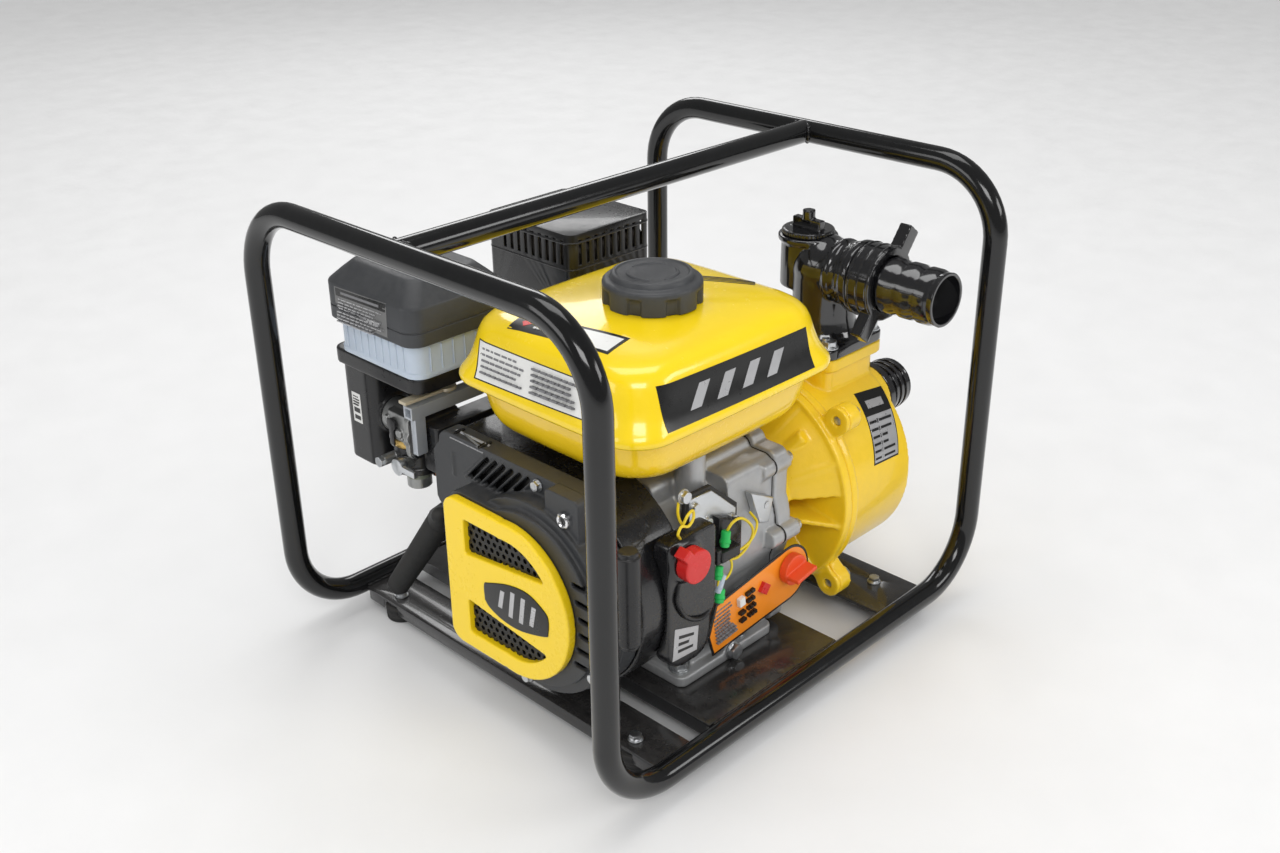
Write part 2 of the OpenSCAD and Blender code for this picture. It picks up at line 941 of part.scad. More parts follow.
module intake_manifold() {
    // Behind the shroud the passage steps across from the carburettor to the port.
    step_x = blower_x1 + 1;
    head_x = bore_x - 56 - gap;
    run_y = (shroud_y1 + carb_flange_y) / 2;
    color("#2a2c2f")
        difference() {
            union() {
                round_box([carb_x - 14, head_x], [shroud_y1 + 2, carb_flange_y - gap],
                    [port_z - 14, carb_z + 13], 5);
                round_box([step_x, head_x], [port_y - 15, carb_flange_y - gap],
                    [port_z - 15, port_z + 15], 5);
                along_y(carb_flange_y - 5, carb_flange_y - gap)
                    round_rect([carb_x - 27, carb_x + 27], [carb_z - 20, carb_z + 20], 8);
            }
            rod_y(carb_x, run_y, carb_y - 25, carb_z, 7);
            block([carb_x - 4.5, carb_x + 4.5], [run_y - 3, run_y + 3.5], [port_z - 3, carb_z + 2]);
            rod_x(carb_x - 4, head_x - 4, run_y, port_z, 5.5);
            rod_x(head_x - 9, head_x + 1, port_y, port_z, 7);
            block([head_x - 8, head_x - 4.5], [port_y, run_y], [port_z - 4, port_z + 4]);
        }
}

module carburettor() {
    body_h = 19;
    body_w = 17;
    cup_r = 11.5;
    cup_h = 20;
    stub_r0 = 5;
    flange_hole_x = 22;
    color("#9aa0a5")
        difference() {
            union() {
                rod_y(carb_x, carb_flange_y, carb_mouth_y, carb_z, carb_barrel_r);
                along_y(carb_flange_y, carb_flange_y + carb_flange_t)
                    round_rect([carb_x - carb_flange_hx, carb_x + carb_flange_hx],
                        [carb_z - 22, carb_z + 22], 8);
                round_box([carb_x - body_h, carb_x + body_h], [carb_y - body_w, carb_y + body_w],
                    [bowl_top - 1, carb_z + 14], 5);
                // float bowl with its lip, and the sediment cup under it
                rod_z(carb_x, carb_y, bowl_bottom, bowl_top, bowl_r);
                rod_z(carb_x, carb_y, bowl_bottom - 2, bowl_bottom + 3, bowl_r + 2);
                rod_z(carb_x - 2, carb_y - 2, bowl_bottom - cup_h, bowl_bottom, cup_r);
                // drain screw
                rod_z(carb_x + 13, carb_y - 11, bowl_bottom - 12, bowl_bottom, stub_r0);
                // fuel stub and the valve's boss
                rod_x(carb_x - 34, carb_x - 12, carb_y + 8, valve_z + 2, stub_r0);
                rod_x(carb_x - 23, carb_x - 12, carb_y - 9, valve_z, 6.5);
            }
            rod_y(carb_x, carb_flange_y - 1, carb_mouth_y + 1, carb_z, carb_bore_r);
            rod_x(carb_x - 20, carb_x - 8, carb_y + 6, carb_z + 3, 3 + run_gap);
            for (side = [-1, 1])
                rod_y(carb_x + side * flange_hole_x, carb_flange_y - 1, carb_flange_y + carb_flange_t + 1,
                    carb_z, 3);
        }
}

module control_bracket() {
    wall = 2;
    color("#aeb3b8")
        difference() {
            union() {
                block([carb_x - 30, blower_x1], bar_y, bar_z);
                // leg down to the intake's flange
                block([carb_x - 27, carb_x - 16], [bar_y[0], carb_y - 31 - gap], [carb_z - 12, bar_z[0] + 1]);
            }
            block([carb_x - 31, blower_x1 + 1], [bar_y[0] + wall, bar_y[1] - wall],
                [bar_z[0] + wall, bar_z[1] - wall]);
            rod_z(throttle_x, throttle_y, bar_z[0] - 1, bar_z[1] + 1, 3 + run_gap);
        }
}

module choke_lever() {
    lever_x = carb_x - 20;
    color("#3c4044") {
        rod_x(lever_x, lever_x + 10, carb_y + 6, carb_z + 3, 3);
        rod_x(lever_x - 3, lever_x, carb_y + 6, carb_z + 3, 6);
        block([lever_x - 3, lever_x - 0.5], [carb_y + 3, carb_y + 9], [carb_z - 17, carb_z + 3]);
    }
}

module fuel_lever() {
    lever_x = carb_x - 23;
    color("#3c4044") {
        rod_x(lever_x - 8, lever_x - 0.2, carb_y - 9, valve_z, 8);
        block([lever_x - 8, lever_x - 4], [carb_y - 34, carb_y - 9], [valve_z - 3, valve_z + 3]);
    }
}

module throttle_lever() {
    plate_z = bar_z[1] + 4;
    color("#c4c7ca") {
        rod_z(throttle_x, throttle_y, bar_z[0] - 2, plate_z + 3, 3);
        rod_z(throttle_x, throttle_y, plate_z, plate_z + 3, 9);
        block([throttle_x - 49, throttle_x], [throttle_y - 5, throttle_y + 5], [plate_z, plate_z + 3]);
    }
}

module air_cleaner_base() {
    rim_h = 14;
    box_bottom = 166;
    box_w = 62;
    duct_y = carb_mouth_y + 10;
    duct = 14;
    color("#18191b")
        difference() {
            union() {
                round_box([cleaner_x[0] + 6, cleaner_x[1] - 6], [cleaner_y[0] + 8, cleaner_y[1] + 5],
                    [cleaner_body_z - rim_h, cleaner_body_z], 12);
                // silencer box down the outer side
                round_box([cleaner_x[0] + 12, cleaner_x[0] + 12 + box_w],
                    [carb_mouth_y + 2, cleaner_y[1] + 4],
                    [box_bottom, cleaner_body_z - rim_h + 1], 12);
                rod_y(carb_x, carb_mouth_y + gap, carb_mouth_y + 12, carb_z, carb_barrel_r + 1);
            }
            // air way from the filter to the carburettor's mouth
            block([carb_x - duct, carb_x + duct], [duct_y, duct_y + 24], [carb_z - duct, cleaner_body_z + 1]);
            rod_y(carb_x, carb_mouth_y - 1, duct_y + 4, carb_z, carb_bore_r + 1);
        }
}

module air_cleaner_body() {
    skin = 3;
    inset = 6;
    duct = 14;
    duct_y = carb_mouth_y + 10;
    out_x = [cleaner_x[0] + inset, cleaner_x[1] - inset];
    out_y = [cleaner_y[0] + inset, cleaner_y[1] - inset];
    color("#aebccb")
        difference() {
            round_box(out_x, out_y, [cleaner_body_z, cleaner_cover_z], 14);
            round_box([out_x[0] + skin, out_x[1] - skin], [out_y[0] + skin, out_y[1] - skin],
                [cleaner_body_z + skin, cleaner_cover_z + 1], 14 - skin);
            block([carb_x - duct, carb_x + duct], [duct_y, duct_y + 24],
                [cleaner_body_z - 1, cleaner_body_z + skin + 1]);
        }
}

module air_cleaner_cover() {
    skin = 3;
    chamfer = 18;
    corner_r = 16;
    recess = 6;
    nut_x = (cleaner_x[0] + cleaner_x[1]) / 2;
    nut_y = (cleaner_y[0] + cleaner_y[1]) / 2;
    side_top = cleaner_top - chamfer;
    color("#2b2d2f")
        difference() {
            union() {
                round_box(cleaner_x, cleaner_y, [cleaner_cover_z, side_top], corner_r);
                // wide chamfer up to the flat top
                hull() {
                    round_box(cleaner_x, cleaner_y, [side_top - 1, side_top], corner_r, $fn = hull_fn);
                    round_box([cleaner_x[0] + chamfer, cleaner_x[1] - chamfer],
                        [cleaner_y[0] + chamfer, cleaner_y[1] - chamfer],
                        [cleaner_top - 1, cleaner_top], 12, $fn = hull_fn);
                }
            }
            round_box([cleaner_x[0] + skin, cleaner_x[1] - skin], [cleaner_y[0] + skin, cleaner_y[1] - skin],
                [cleaner_cover_z - 1, side_top - 1], corner_r - skin);
            // recess and hole for the wing nut
            rod_z(nut_x, nut_y, cleaner_top - recess, cleaner_top + 1, 16);
            rod_z(nut_x, nut_y, cleaner_top - 25, cleaner_top, 3.2);
        }
}

module filter_element() {
    inset = 14;
    color("#d9c48c")
        difference() {
            round_box([cleaner_x[0] + inset, cleaner_x[1] - inset],
                [cleaner_y[0] + inset, cleaner_y[1] - inset],
                [cleaner_body_z + 6, cleaner_top - 20], 12);
            round_box([cleaner_x[0] + inset + 16, cleaner_x[1] - inset - 16],
                [cleaner_y[0] + inset + 16, cleaner_y[1] - inset - 16],
                [cleaner_body_z + 5, cleaner_top - 30], 6);
            rod_z((cleaner_x[0] + cleaner_x[1]) / 2, (cleaner_y[0] + cleaner_y[1]) / 2,
                cleaner_top - 31, cleaner_top - 19, 4);
        }
}

module wing_nut() {
    nut_x = (cleaner_x[0] + cleaner_x[1]) / 2;
    nut_y = (cleaner_y[0] + cleaner_y[1]) / 2;
    span = 26;
    wing_t = 3;
    color("#d7d9dc")
        difference() {
            translate([nut_x, nut_y, cleaner_top - 6]) {
                cylinder(h = 1.5, r = 11);
                cylinder(h = 8, r = 6);
                rotate(20)
                    translate([-span / 2, -wing_t / 2, 3])
                        cube([span, wing_t, 8]);
            }
            rod_z(nut_x, nut_y, cleaner_top - 7, cleaner_top + 6, 3);
        }
}

module muffler() {
    skin = 2;
    corner_r = 14;
    pipe_r = 15;
    pipe_bore = 11;
    pipe_x = bore_x + 76;
    box_y = muffler_y[0] + 20;
    outlet_r = 9;
    color("#26221f")
        difference() {
            union() {
                along_x(muffler_x[0], muffler_x[1])
                    round_rect(muffler_y, muffler_z, corner_r);
                // exhaust pipe from the head's port, up to the box
                rod_x(bore_x + 54 + gap, pipe_x, port_y, port_z, pipe_r);
                rod_z(pipe_x, port_y, port_z, port_z + 50, pipe_r);
                hull() {
                    rod_z(pipe_x, port_y, port_z + 44, port_z + 50, pipe_r, $fn = hull_fn);
                    rod_z(pipe_x, box_y, muffler_z[0] + 2, muffler_z[0] + 8, pipe_r, $fn = hull_fn);
                }
            }
            along_x(muffler_x[0] + skin, muffler_x[1] - skin)
                round_rect([muffler_y[0] + skin, muffler_y[1] - skin],
                    [muffler_z[0] + skin, muffler_z[1] - skin], corner_r - skin);
            rod_x(bore_x + 53, pipe_x, port_y, port_z, pipe_bore);
            // outlet
            rod_y(muffler_x[1] - 20, muffler_y[1] - 4, muffler_y[1] + 1, muffler_z[0] + 20, outlet_r);
        }
}

module muffler_guard() {
    skin = 2;
    clearance = 5;
    slot_count = 9;
    slot_pitch = 10;
    slot_half = 2;
    first_slot = 12;
    out_x = [muffler_x[0] - clearance, muffler_x[1] + clearance];
    out_y = [muffler_y[0] - clearance, muffler_y[1] + clearance];
    slot_z = [muffler_z[1] - 18, muffler_z[1] + 6];
    color("#1a1b1c")
        difference() {
            round_box(out_x, out_y, [muffler_z[0] - 8, muffler_z[1] + 12], 8);
            round_box([out_x[0] + skin, out_x[1] - skin], [out_y[0] + skin, out_y[1] - skin],
                [muffler_z[0] - 9, muffler_z[1] + 12 - skin], 8 - skin);
            // way in for the exhaust pipe
            block([bore_x + 59, bore_x + 93], [out_y[0] - 1, out_y[0] + skin + 1],
                [muffler_z[0] - 9, muffler_z[0] + 6]);
            for (i = [0 : slot_count - 1]) {
                slot_x = out_x[0] + first_slot + i * slot_pitch;
                slot_y = out_y[0] + first_slot + i * slot_pitch;
                block([slot_x - slot_half, slot_x + slot_half], [out_y[0] - 1, out_y[1] + 1], slot_z);
                block([out_x[0] - 1, out_x[1] + 1], [slot_y - slot_half, slot_y + slot_half], slot_z);
            }
        }
}

// ---------- fuel tank ----------

// One level of the tank's outline, moved in from its sides by margin.
module tank_slice(margin, z) {
    round_box([tank_x[0] + margin, tank_x[1] - margin], [tank_y[0] + margin, tank_y[1] - margin],
        z, 26, $fn = hull_fn);
}

module tank_shell(inset) {
    hull() {
        tank_slice(10 + inset, [seam_z - 16, seam_z + 14]);
        tank_slice(18 + inset, [tank_top - 18, tank_top - 14]);
        tank_slice(32 + inset, [tank_top - 5 - inset, tank_top - inset]);
        tank_slice(14 + inset, [tank_bottom + 22, seam_z]);
        tank_slice(22 + inset, [tank_bottom + 8, seam_z]);
        tank_slice(38 + inset, [tank_bottom + inset, seam_z]);
    }
}

module fuel_tank() {
    color("#f7de1e")
        difference() {
            union() {
                tank_shell(0);
                round_box(tank_x, tank_y, [seam_z, seam_z + seam_t], 30);
                rod_z(cap_x, cap_y, tank_top - 6, tank_top + 8, 32);
            }
            tank_shell(1.5);
            rod_z(cap_x, cap_y, tank_top - 8, tank_top + 9, 28);
        }
}

module fuel_cap() {
    color("#3a3e42")
        difference() {
            union() {
                rod_z(cap_x, cap_y, tank_top + 2, cap_top - 4, 42);
                rod_z(cap_x, cap_y, cap_top - 4, cap_top, 34);
            }
            rod_z(cap_x, cap_y, tank_top + 1, tank_top + 9, 38);
            for (i = [0 : 7])
                translate([cap_x + 45 * cos(i * 45), cap_y + 45 * sin(i * 45), tank_top])
                    cylinder(h = 18, r = 8);
        }
    // plug that turns in the filler neck
    color("#3a3e42")
        rod_z(cap_x, cap_y, tank_top, tank_top + 12, 28 - run_gap);
}

// ---------- switch, dipstick, wiring, tag ----------

module switch_body() {
    color("#161719")
        difference() {
            union() {
                along_y(switch_y - 8, switch_y + 10) {
                    round_rect([switch_x - 20, switch_x + 38], [switch_z - 66, switch_z + 21], 6);
                    round_rect([switch_x - 20, switch_x + 32], [switch_z - 102, switch_z], 18);
                }
                rod_y(switch_x, switch_y - 11, switch_y - 8, switch_z, 18);
            }
            along_x(blower_x0 - 1, blower_x1 + 1)
                translate([crank_y, crank_z])
                    circle(blower_r + gap);
            rod_y(switch_x, switch_y - 12, switch_y - 2, switch_z, 5 + run_gap);
        }
}

module switch_knob() {
    knob_y = switch_y - 11.2;
    color("#d8322f") {
        rod_y(switch_x, knob_y, knob_y + 8, switch_z, 5);
        rod_y(switch_x, knob_y - 12, knob_y, switch_z, 15);
        translate([switch_x, 0, switch_z])
            rotate([0, 50, 0])
                translate([-switch_x, 0, -switch_z])
                    block([switch_x - 22, switch_x], [knob_y - 12, knob_y], [switch_z - 5, switch_z + 5]);
    }
}

module dipstick() {
    cap_y0 = filler_y - 8;
    color("#e8562a") {
        rod_y(filler_x, cap_y0, filler_y - 0.2, filler_z, 15);
        rod_y(filler_x, filler_y - 1, filler_y + 18, filler_z, 7);
        rod_y(filler_x, filler_y + 10, filler_y + 26, filler_z, 3);
        translate([filler_x, 0, filler_z])
            rotate([0, -10, 0])
                block([-14, 14], [cap_y0 - 13, cap_y0 + 1], [-2, 2]);
    }
}

module oil_drain_bolt() {
    color("#b5b8bb")
        translate([drain_x, base_y0 - 0.2, drain_z])
            rotate([90, 0, 0])
                bolt(8, 16);
}

module wiring() {
    wire_r = 1.6;
    color("#e3cf3a") {
        translate([-86, -152, 213])
            rotate([90, 0, 20])
                rotate_extrude(angle = 300)
                    translate([9, 0])
                        circle(wire_r);
        translate([-44, -152, 176])
            rotate([90, 0, -10])
                rotate_extrude(angle = 280)
                    translate([14, 0])
                        circle(wire_r);
    }
    color("#27b24a")
        for (z = [152, 128, 106])
            rod_z(-62 + (152 - z) / 6, -156, z, z + 14, 4);
}

module tag_plate() {
    color("#f2931c")
        difference() {
            along_y(filler_y + 0.8, filler_y + 2.1) {
                translate([filler_x, filler_z - 8])
                    circle(29);
                polygon([
                    [filler_x - 4, filler_z + 20.7],
                    [filler_x - 100, filler_z + 6],
                    [filler_x - 110, filler_z - 24],
                    [filler_x - 103, filler_z - 46],
                    [filler_x + 4, filler_z - 36.7]
                ]);
            }
            rod_y(filler_x, filler_y - 1, filler_y + 5, filler_z, 11 + gap);
        }
}

// ---------- pump ----------

module pump_lugs(x0, x1) {
    for (a = [45 : 90 : 315]) {
        rod_x(x0, x1, crank_y + lug_circle_r * cos(a), crank_z + lug_circle_r * sin(a), lug_r);
        // web that ties the lug to the flange
        translate([x0 + 1, crank_y, crank_z])
            rotate([a, 0, 0])
                translate([0, flange_r - 16, 1 - lug_r])
                    cube([x1 - x0 - 2, lug_circle_r - flange_r + 16, 2 * lug_r - 2]);
    }
}

module lug_holes(x0, x1) {
    for (a = [45 : 90 : 315])
        rod_x(x0, x1, crank_y + lug_circle_r * cos(a), crank_z + lug_circle_r * sin(a), 4.5);
}

module pump_adapter() {
    rib_count = 10;
    plate_x1 = cover_x1 + 8;
    color("#f0c818")
        difference() {
            union() {
                rod_x(cover_x1, plate_x1, crank_y, crank_z, 66);
                rod_x(flange_x - 10, flange_x, crank_y, crank_z, flange_r);
                rod_x(plate_x1, flange_x - 10, crank_y, crank_z, 40);
                for (i = [0 : rib_count - 1])
                    translate([0, crank_y, crank_z])
                        rotate([i * 360 / rib_count + 9, 0, 0])
                            translate([0, 0, -2.5])
                                linear_extrude(5)
                                    polygon([
                                        [plate_x1 - 1, 30],
                                        [plate_x1 - 1, 61],
                                        [flange_x - 9, 104],
                                        [flange_x - 9, 30]
                                    ]);
                pump_lugs(flange_x - 5, flange_x);
            }
            rod_x(cover_x1 - 1, plate_x1 + 20, crank_y, crank_z, 26);
            rod_x(plate_x1 + 10, flange_x + 1, crank_y, crank_z, 17);
            lug_holes(flange_x - 12, flange_x + 1);
        }
}

module shaft_seal() {
    color("#5b5e62")
        difference() {
            rod_x(flange_x - 16, flange_x + 6, crank_y, crank_z, 17 - gap);
            rod_x(flange_x - 17, flange_x + 7, crank_y, crank_z, shaft_r + run_gap);
        }
}

module pump_casing() {
    color("#f5d01c")
        difference() {
            union() {
                rod_x(flange_x, flange_x + 10, crank_y, crank_z, flange_r);
                rod_x(flange_x, casing_x1 - 12, crank_y, crank_z, pump_r);
                rod_x(casing_x1 - 13, casing_x1, crank_y, crank_z, pump_r - 10);
                pump_lugs(flange_x, flange_x + lug_t);
                round_box([neck_x - neck_size / 2, neck_x + 38],
                    [neck_y - neck_size / 2 + 6, neck_y + neck_size / 2 - 6],
                    [crank_z, neck_top - 8], 12);
                round_box([neck_x - neck_size / 2, neck_x + neck_size / 2],
                    [neck_y - neck_size / 2, neck_y + neck_size / 2],
                    [neck_top - 12, neck_top], 10);
                rod_x(casing_x1 - 30, casing_x1, suction_y, suction_z, stub_r + 8);
            }
            rod_x(flange_x - 1, casing_x1 - 8, crank_y, crank_z, pump_r - 8);
            rod_z(neck_x, neck_y, crank_z, neck_top + 1, port_r + 6);
            rod_x(casing_x1 - 31, casing_x1 + 1, suction_y, suction_z, stub_r + gap);
            lug_holes(flange_x - 1, flange_x + lug_t + 1);
            rod_x(casing_x1 - 9, casing_x1 + 1, crank_y, crank_z - 82, 7 + gap);
            for (sx = [-1, 1], sy = [-1, 1])
                rod_z(neck_x + sx * 32, neck_y + sy * 32, neck_top - 11, neck_top + 1, 4 + gap);
        }
}

module casing_bolts() {
    color("#c3c5c8") {
        for (a = [45 : 90 : 315])
            translate([flange_x + lug_t, crank_y + lug_circle_r * cos(a), crank_z + lug_circle_r * sin(a)])
                rotate([0, 90, 0])
                    bolt(8, lug_t + 3);
        for (sx = [-1, 1], sy = [-1, 1])
            translate([neck_x + sx * 32, neck_y + sy * 32, neck_top + 10])
                bolt(8, 20);
        // drain plug low on the casing's end
        translate([casing_x1, crank_y, crank_z - 82])
            rotate([0, 90, 0])
                bolt(14, 8);
    }
}

module volute() {
    color("#84888c")
        difference() {
            rod_x(flange_x + 10, flange_x + 52, crank_y, crank_z, 84);
            translate([0, 4, 0])
                rod_x(flange_x + 13, flange_x + 46, crank_y, crank_z, 72);
            rod_x(flange_x + 9, flange_x + 14, crank_y, crank_z, 66);
            rod_x(flange_x + 45, flange_x + 53, crank_y, crank_z, 24);
            // outlet of the volute
            block([flange_x + 16, flange_x + 44], [crank_y - 90, crank_y - 40], [crank_z + 20, crank_z + 90]);
        }
}

module impeller() {
    vane_count = 5;
    disc_x0 = flange_x + 16;
    color("#9da1a5")
        difference() {
            union() {
                rod_x(disc_x0, disc_x0 + 5, crank_y, crank_z, impeller_d / 2);
                rod_x(disc_x0, disc_x0 + 26, crank_y, crank_z, 17);
                for (i = [0 : vane_count - 1])
                    translate([0, crank_y, crank_z])
                        rotate([i * 360 / vane_count, 0, 0])
                            translate([disc_x0 + 4, 0, 0])
                                intersection() {
                                    difference() {
                                        rod_x(0, 18, 0, 34, 36);
                                        rod_x(-1, 19, 0, 34, 32);
                                        translate([-1, -80, -80])
                                            cube([20, 80, 160]);
                                    }
                                    rod_x(0, 18, 0, 0, impeller_d / 2 - 1);
                                }
            }
            rod_x(disc_x0 - 1, flange_x + 44 + gap, crank_y, crank_z, shaft_r + gap);
        }
}

module check_valve_flap() {
    flap_x = casing_x1 - 36;
    color("#1c1d1e") {
        rod_x(flap_x, flap_x + 4, suction_y, suction_z, stub_r - 1.5);
        rod_y(flap_x + 2, suction_y - 4, suction_y + 12, suction_z + stub_r - 1, 2);
    }
}

// ---------- outlet elbow and hose fittings ----------

module discharge_elbow() {
    foot_t = 10;
    stud_pitch = 32;
    filler_y = neck_y + 22;
    filler_r = 25;
    half = neck_size / 2;
    color("#121314")
        difference() {
            union() {
                round_box([neck_x - half, neck_x + half], [neck_y - half, neck_y + half],
                    [neck_top, neck_top + foot_t], 10);
                rod_z(neck_x, neck_y, neck_top + foot_t - 1, outlet_z, elbow_r);
                translate([neck_x, neck_y, outlet_z])
                    sphere(elbow_r + 0.5);
                rod_y(neck_x, elbow_end_y, neck_y, outlet_z, elbow_r - 1);
                rod_y(neck_x, elbow_end_y, elbow_end_y + 8, outlet_z, elbow_r + 4);
                // priming filler beside the bend
                rod_z(neck_x, filler_y, outlet_z - 22, filler_top, filler_r);
                rod_z(neck_x, filler_y, filler_top - 6, filler_top, filler_r + 3);
            }
            rod_z(neck_x, neck_y, neck_top - 1, outlet_z, port_r + 3);
            rod_y(neck_x, elbow_end_y - 1, neck_y, outlet_z, port_r + 2.5);
            rod_z(neck_x, filler_y, outlet_z, filler_top + 1, priming_r + run_gap);
            rod_z(neck_x, filler_y, filler_top, filler_top + 9, priming_r + 4.6);
            for (sx = [-1, 1], sy = [-1, 1])
                rod_z(neck_x + sx * stud_pitch, neck_y + sy * stud_pitch, neck_top - 1, neck_top + foot_t + 1,
                    4 + gap);
        }
}

module priming_cap() {
    filler_y = neck_y + 22;
    bar_half = 16;
    color("#121314") {
        rod_z(neck_x, filler_y, filler_top - 12, filler_top + 2, priming_r);
        rod_z(neck_x, filler_y, filler_top + 0.2, filler_top + 5, priming_r + 4);
        block([neck_x - 4, neck_x + 4], [filler_y - bar_half, filler_y + bar_half],
            [filler_top + 4, filler_top + 14]);
        rod_z(neck_x, filler_y, filler_top + 12, filler_top + 22, 6);
    }
}

// Hose barb along -Y from the origin: a flange, then three ridges.
module barb_outline(length, flange_len, flange_r0) {
    land = 7;
    pitch = (length - flange_len - 4) / 3;
    rotate_extrude()
        difference() {
            polygon(concat(
                [[0, 0], [flange_r0, 0], [flange_r0, flange_len], [barb_r - 1.8, flange_len]],
                [for (i = [0 : 2]) for (corner = [[barb_r - 1.8, 4 + i * pitch], [barb_r, 4 + i * pitch],
                    [barb_r, 4 + i * pitch + land],
                    [barb_r - 1.8, min(4 + (i + 1) * pitch, length - flange_len)]])
                    [corner[0], flange_len + corner[1]]],
                [[0, length]]
            ));
            translate([0, -1])
                square([port_r, length + 2]);
        }
}

module discharge_hose_barb() {
    color("#101112")
        translate([neck_x, elbow_end_y - gap, outlet_z])
            rotate([90, 0, 0])
                barb_outline(elbow_end_y - gap - barb_end_y, 6, 29);
}

module discharge_nut() {
    nut_w = 26;
    nut_r = 34;
    lip = 8;
    ear_angles = [52, 232];
    nut_y0 = elbow_end_y - nut_w;
    color("#16181a")
        difference() {
            union() {
                rod_y(neck_x, nut_y0, elbow_end_y - 0.2, outlet_z, nut_r);
                // two ears to turn it by
                for (a = ear_angles)
                    translate([neck_x, nut_y0, outlet_z])
                        rotate([0, -a, 0])
                            block([nut_r - 3, nut_r + 22], [0, 12], [-8, 8]);
            }
            rod_y(neck_x, nut_y0 + nut_w - lip, elbow_end_y + 1, outlet_z, 29 + run_gap);
            rod_y(neck_x, nut_y0 - 1, nut_y0 + nut_w - lip + 1, outlet_z, barb_r + run_gap);
        }
}

module suction_hose_barb() {
    color("#101112")
        difference() {
            union() {
                translate([casing_x1 + gap, suction_y, suction_z])
                    rotate([0, 90, 0])
                        barb_outline(hoop_x + tube_r - casing_x1 - gap, 8, stub_r + 8);
                rod_x(casing_x1 - 25, casing_x1 + 1, suction_y, suction_z, stub_r);
            }
            rod_x(casing_x1 - 26, casing_x1 + 4, suction_y, suction_z, port_r);
        }
}

frame_loop();
top_bar();
front_cross_plate();
engine_base_plate();
rear_cross_plate();
rubber_feet();
foot_bolts();
engine_mount_bolts();
crankcase();
crankcase_cover();
housing_bolts();
main_bearings();
cylinder_head();
rocker_cover();
spark_plug();
plug_cap();
crankshaft();
flywheel();
camshaft();
piston();
blower_housing();
recoil_housing();
grille_ring();
grille_mesh();
rope_eyelets();
recoil_pulley();
starter_grip();
intake_manifold();
carburettor();
control_bracket();
choke_lever();
fuel_lever();
throttle_lever();
air_cleaner_base();
air_cleaner_body();
air_cleaner_cover();
filter_element();
wing_nut();
muffler();
muffler_guard();
fuel_tank();
fuel_cap();
dipstick();
oil_drain_bolt();
switch_body();
switch_knob();
wiring();
tag_plate();
pump_adapter();
pump_casing();
casing_bolts();
volute();
impeller();
shaft_seal();
discharge_elbow();
discharge_hose_barb();
discharge_nut();
suction_hose_barb();
priming_cap();
check_valve_flap();
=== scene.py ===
import bpy
import bmesh
import json
import functools
import math
import random
from mathutils import Matrix, Vector
from mathutils.bvhtree import BVHTree

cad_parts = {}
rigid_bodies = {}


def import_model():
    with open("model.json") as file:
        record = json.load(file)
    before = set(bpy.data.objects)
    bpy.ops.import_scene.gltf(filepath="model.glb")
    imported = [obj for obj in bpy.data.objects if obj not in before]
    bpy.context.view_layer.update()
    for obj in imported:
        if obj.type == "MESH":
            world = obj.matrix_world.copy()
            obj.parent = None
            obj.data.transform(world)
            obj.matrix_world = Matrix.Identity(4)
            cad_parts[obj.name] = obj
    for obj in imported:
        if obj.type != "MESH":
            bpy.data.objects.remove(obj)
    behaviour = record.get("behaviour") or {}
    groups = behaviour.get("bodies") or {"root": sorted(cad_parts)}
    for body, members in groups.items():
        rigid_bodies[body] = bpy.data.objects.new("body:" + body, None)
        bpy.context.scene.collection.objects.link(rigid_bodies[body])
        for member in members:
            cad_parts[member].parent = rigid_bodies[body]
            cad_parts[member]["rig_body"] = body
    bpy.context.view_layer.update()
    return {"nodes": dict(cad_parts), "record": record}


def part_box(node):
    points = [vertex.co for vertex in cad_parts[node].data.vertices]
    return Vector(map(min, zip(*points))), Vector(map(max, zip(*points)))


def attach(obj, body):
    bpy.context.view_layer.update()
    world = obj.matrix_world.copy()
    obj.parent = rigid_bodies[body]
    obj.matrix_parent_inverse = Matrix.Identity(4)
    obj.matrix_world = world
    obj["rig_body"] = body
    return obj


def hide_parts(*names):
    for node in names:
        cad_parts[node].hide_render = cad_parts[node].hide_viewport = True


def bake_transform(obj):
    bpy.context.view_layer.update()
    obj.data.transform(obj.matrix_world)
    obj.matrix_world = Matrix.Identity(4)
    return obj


# Portable fire pump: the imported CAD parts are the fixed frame, and these pieces give them their looks.
# Metres, in the CAD frame. Lengths typed below are in millimetres and pass through MM.
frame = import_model()
MM = 0.001
random.seed(7)


def v(*mm):
    return Vector(mm) * MM


# ---------------------------------------------------------------- node boxes, in millimetres
@functools.lru_cache(maxsize=None)
def span(node):
    lo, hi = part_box(node)
    return lo / MM, hi / MM


def middle(node):
    lo, hi = span(node)
    return (lo + hi) / 2


CRANK_Y, CRANK_Z = -68, 134  # the axis that the crankshaft, the grille drum and the pump share
X, Y, Z = Vector((1, 0, 0)), Vector((0, 1, 0)), Vector((0, 0, 1))


# ---------------------------------------------------------------- materials
def node_math(nt, op, a, b):
    n = nt.nodes.new("ShaderNodeMath")
    n.operation = op
    for i, x in enumerate((a, b)):
        if isinstance(x, (int, float)):
            n.inputs[i].default_value = x
        else:
            nt.links.new(x, n.inputs[i])
    return n.outputs[0]


def noise_out(nt, coords, scale, detail=4, rough=0.6):
    n = nt.nodes.new("ShaderNodeTexNoise")
    n.inputs["Scale"].default_value = scale
    n.inputs["Detail"].default_value = detail
    n.inputs["Roughness"].default_value = rough
    nt.links.new(coords, n.inputs["Vector"])
    return n.outputs["Fac"]


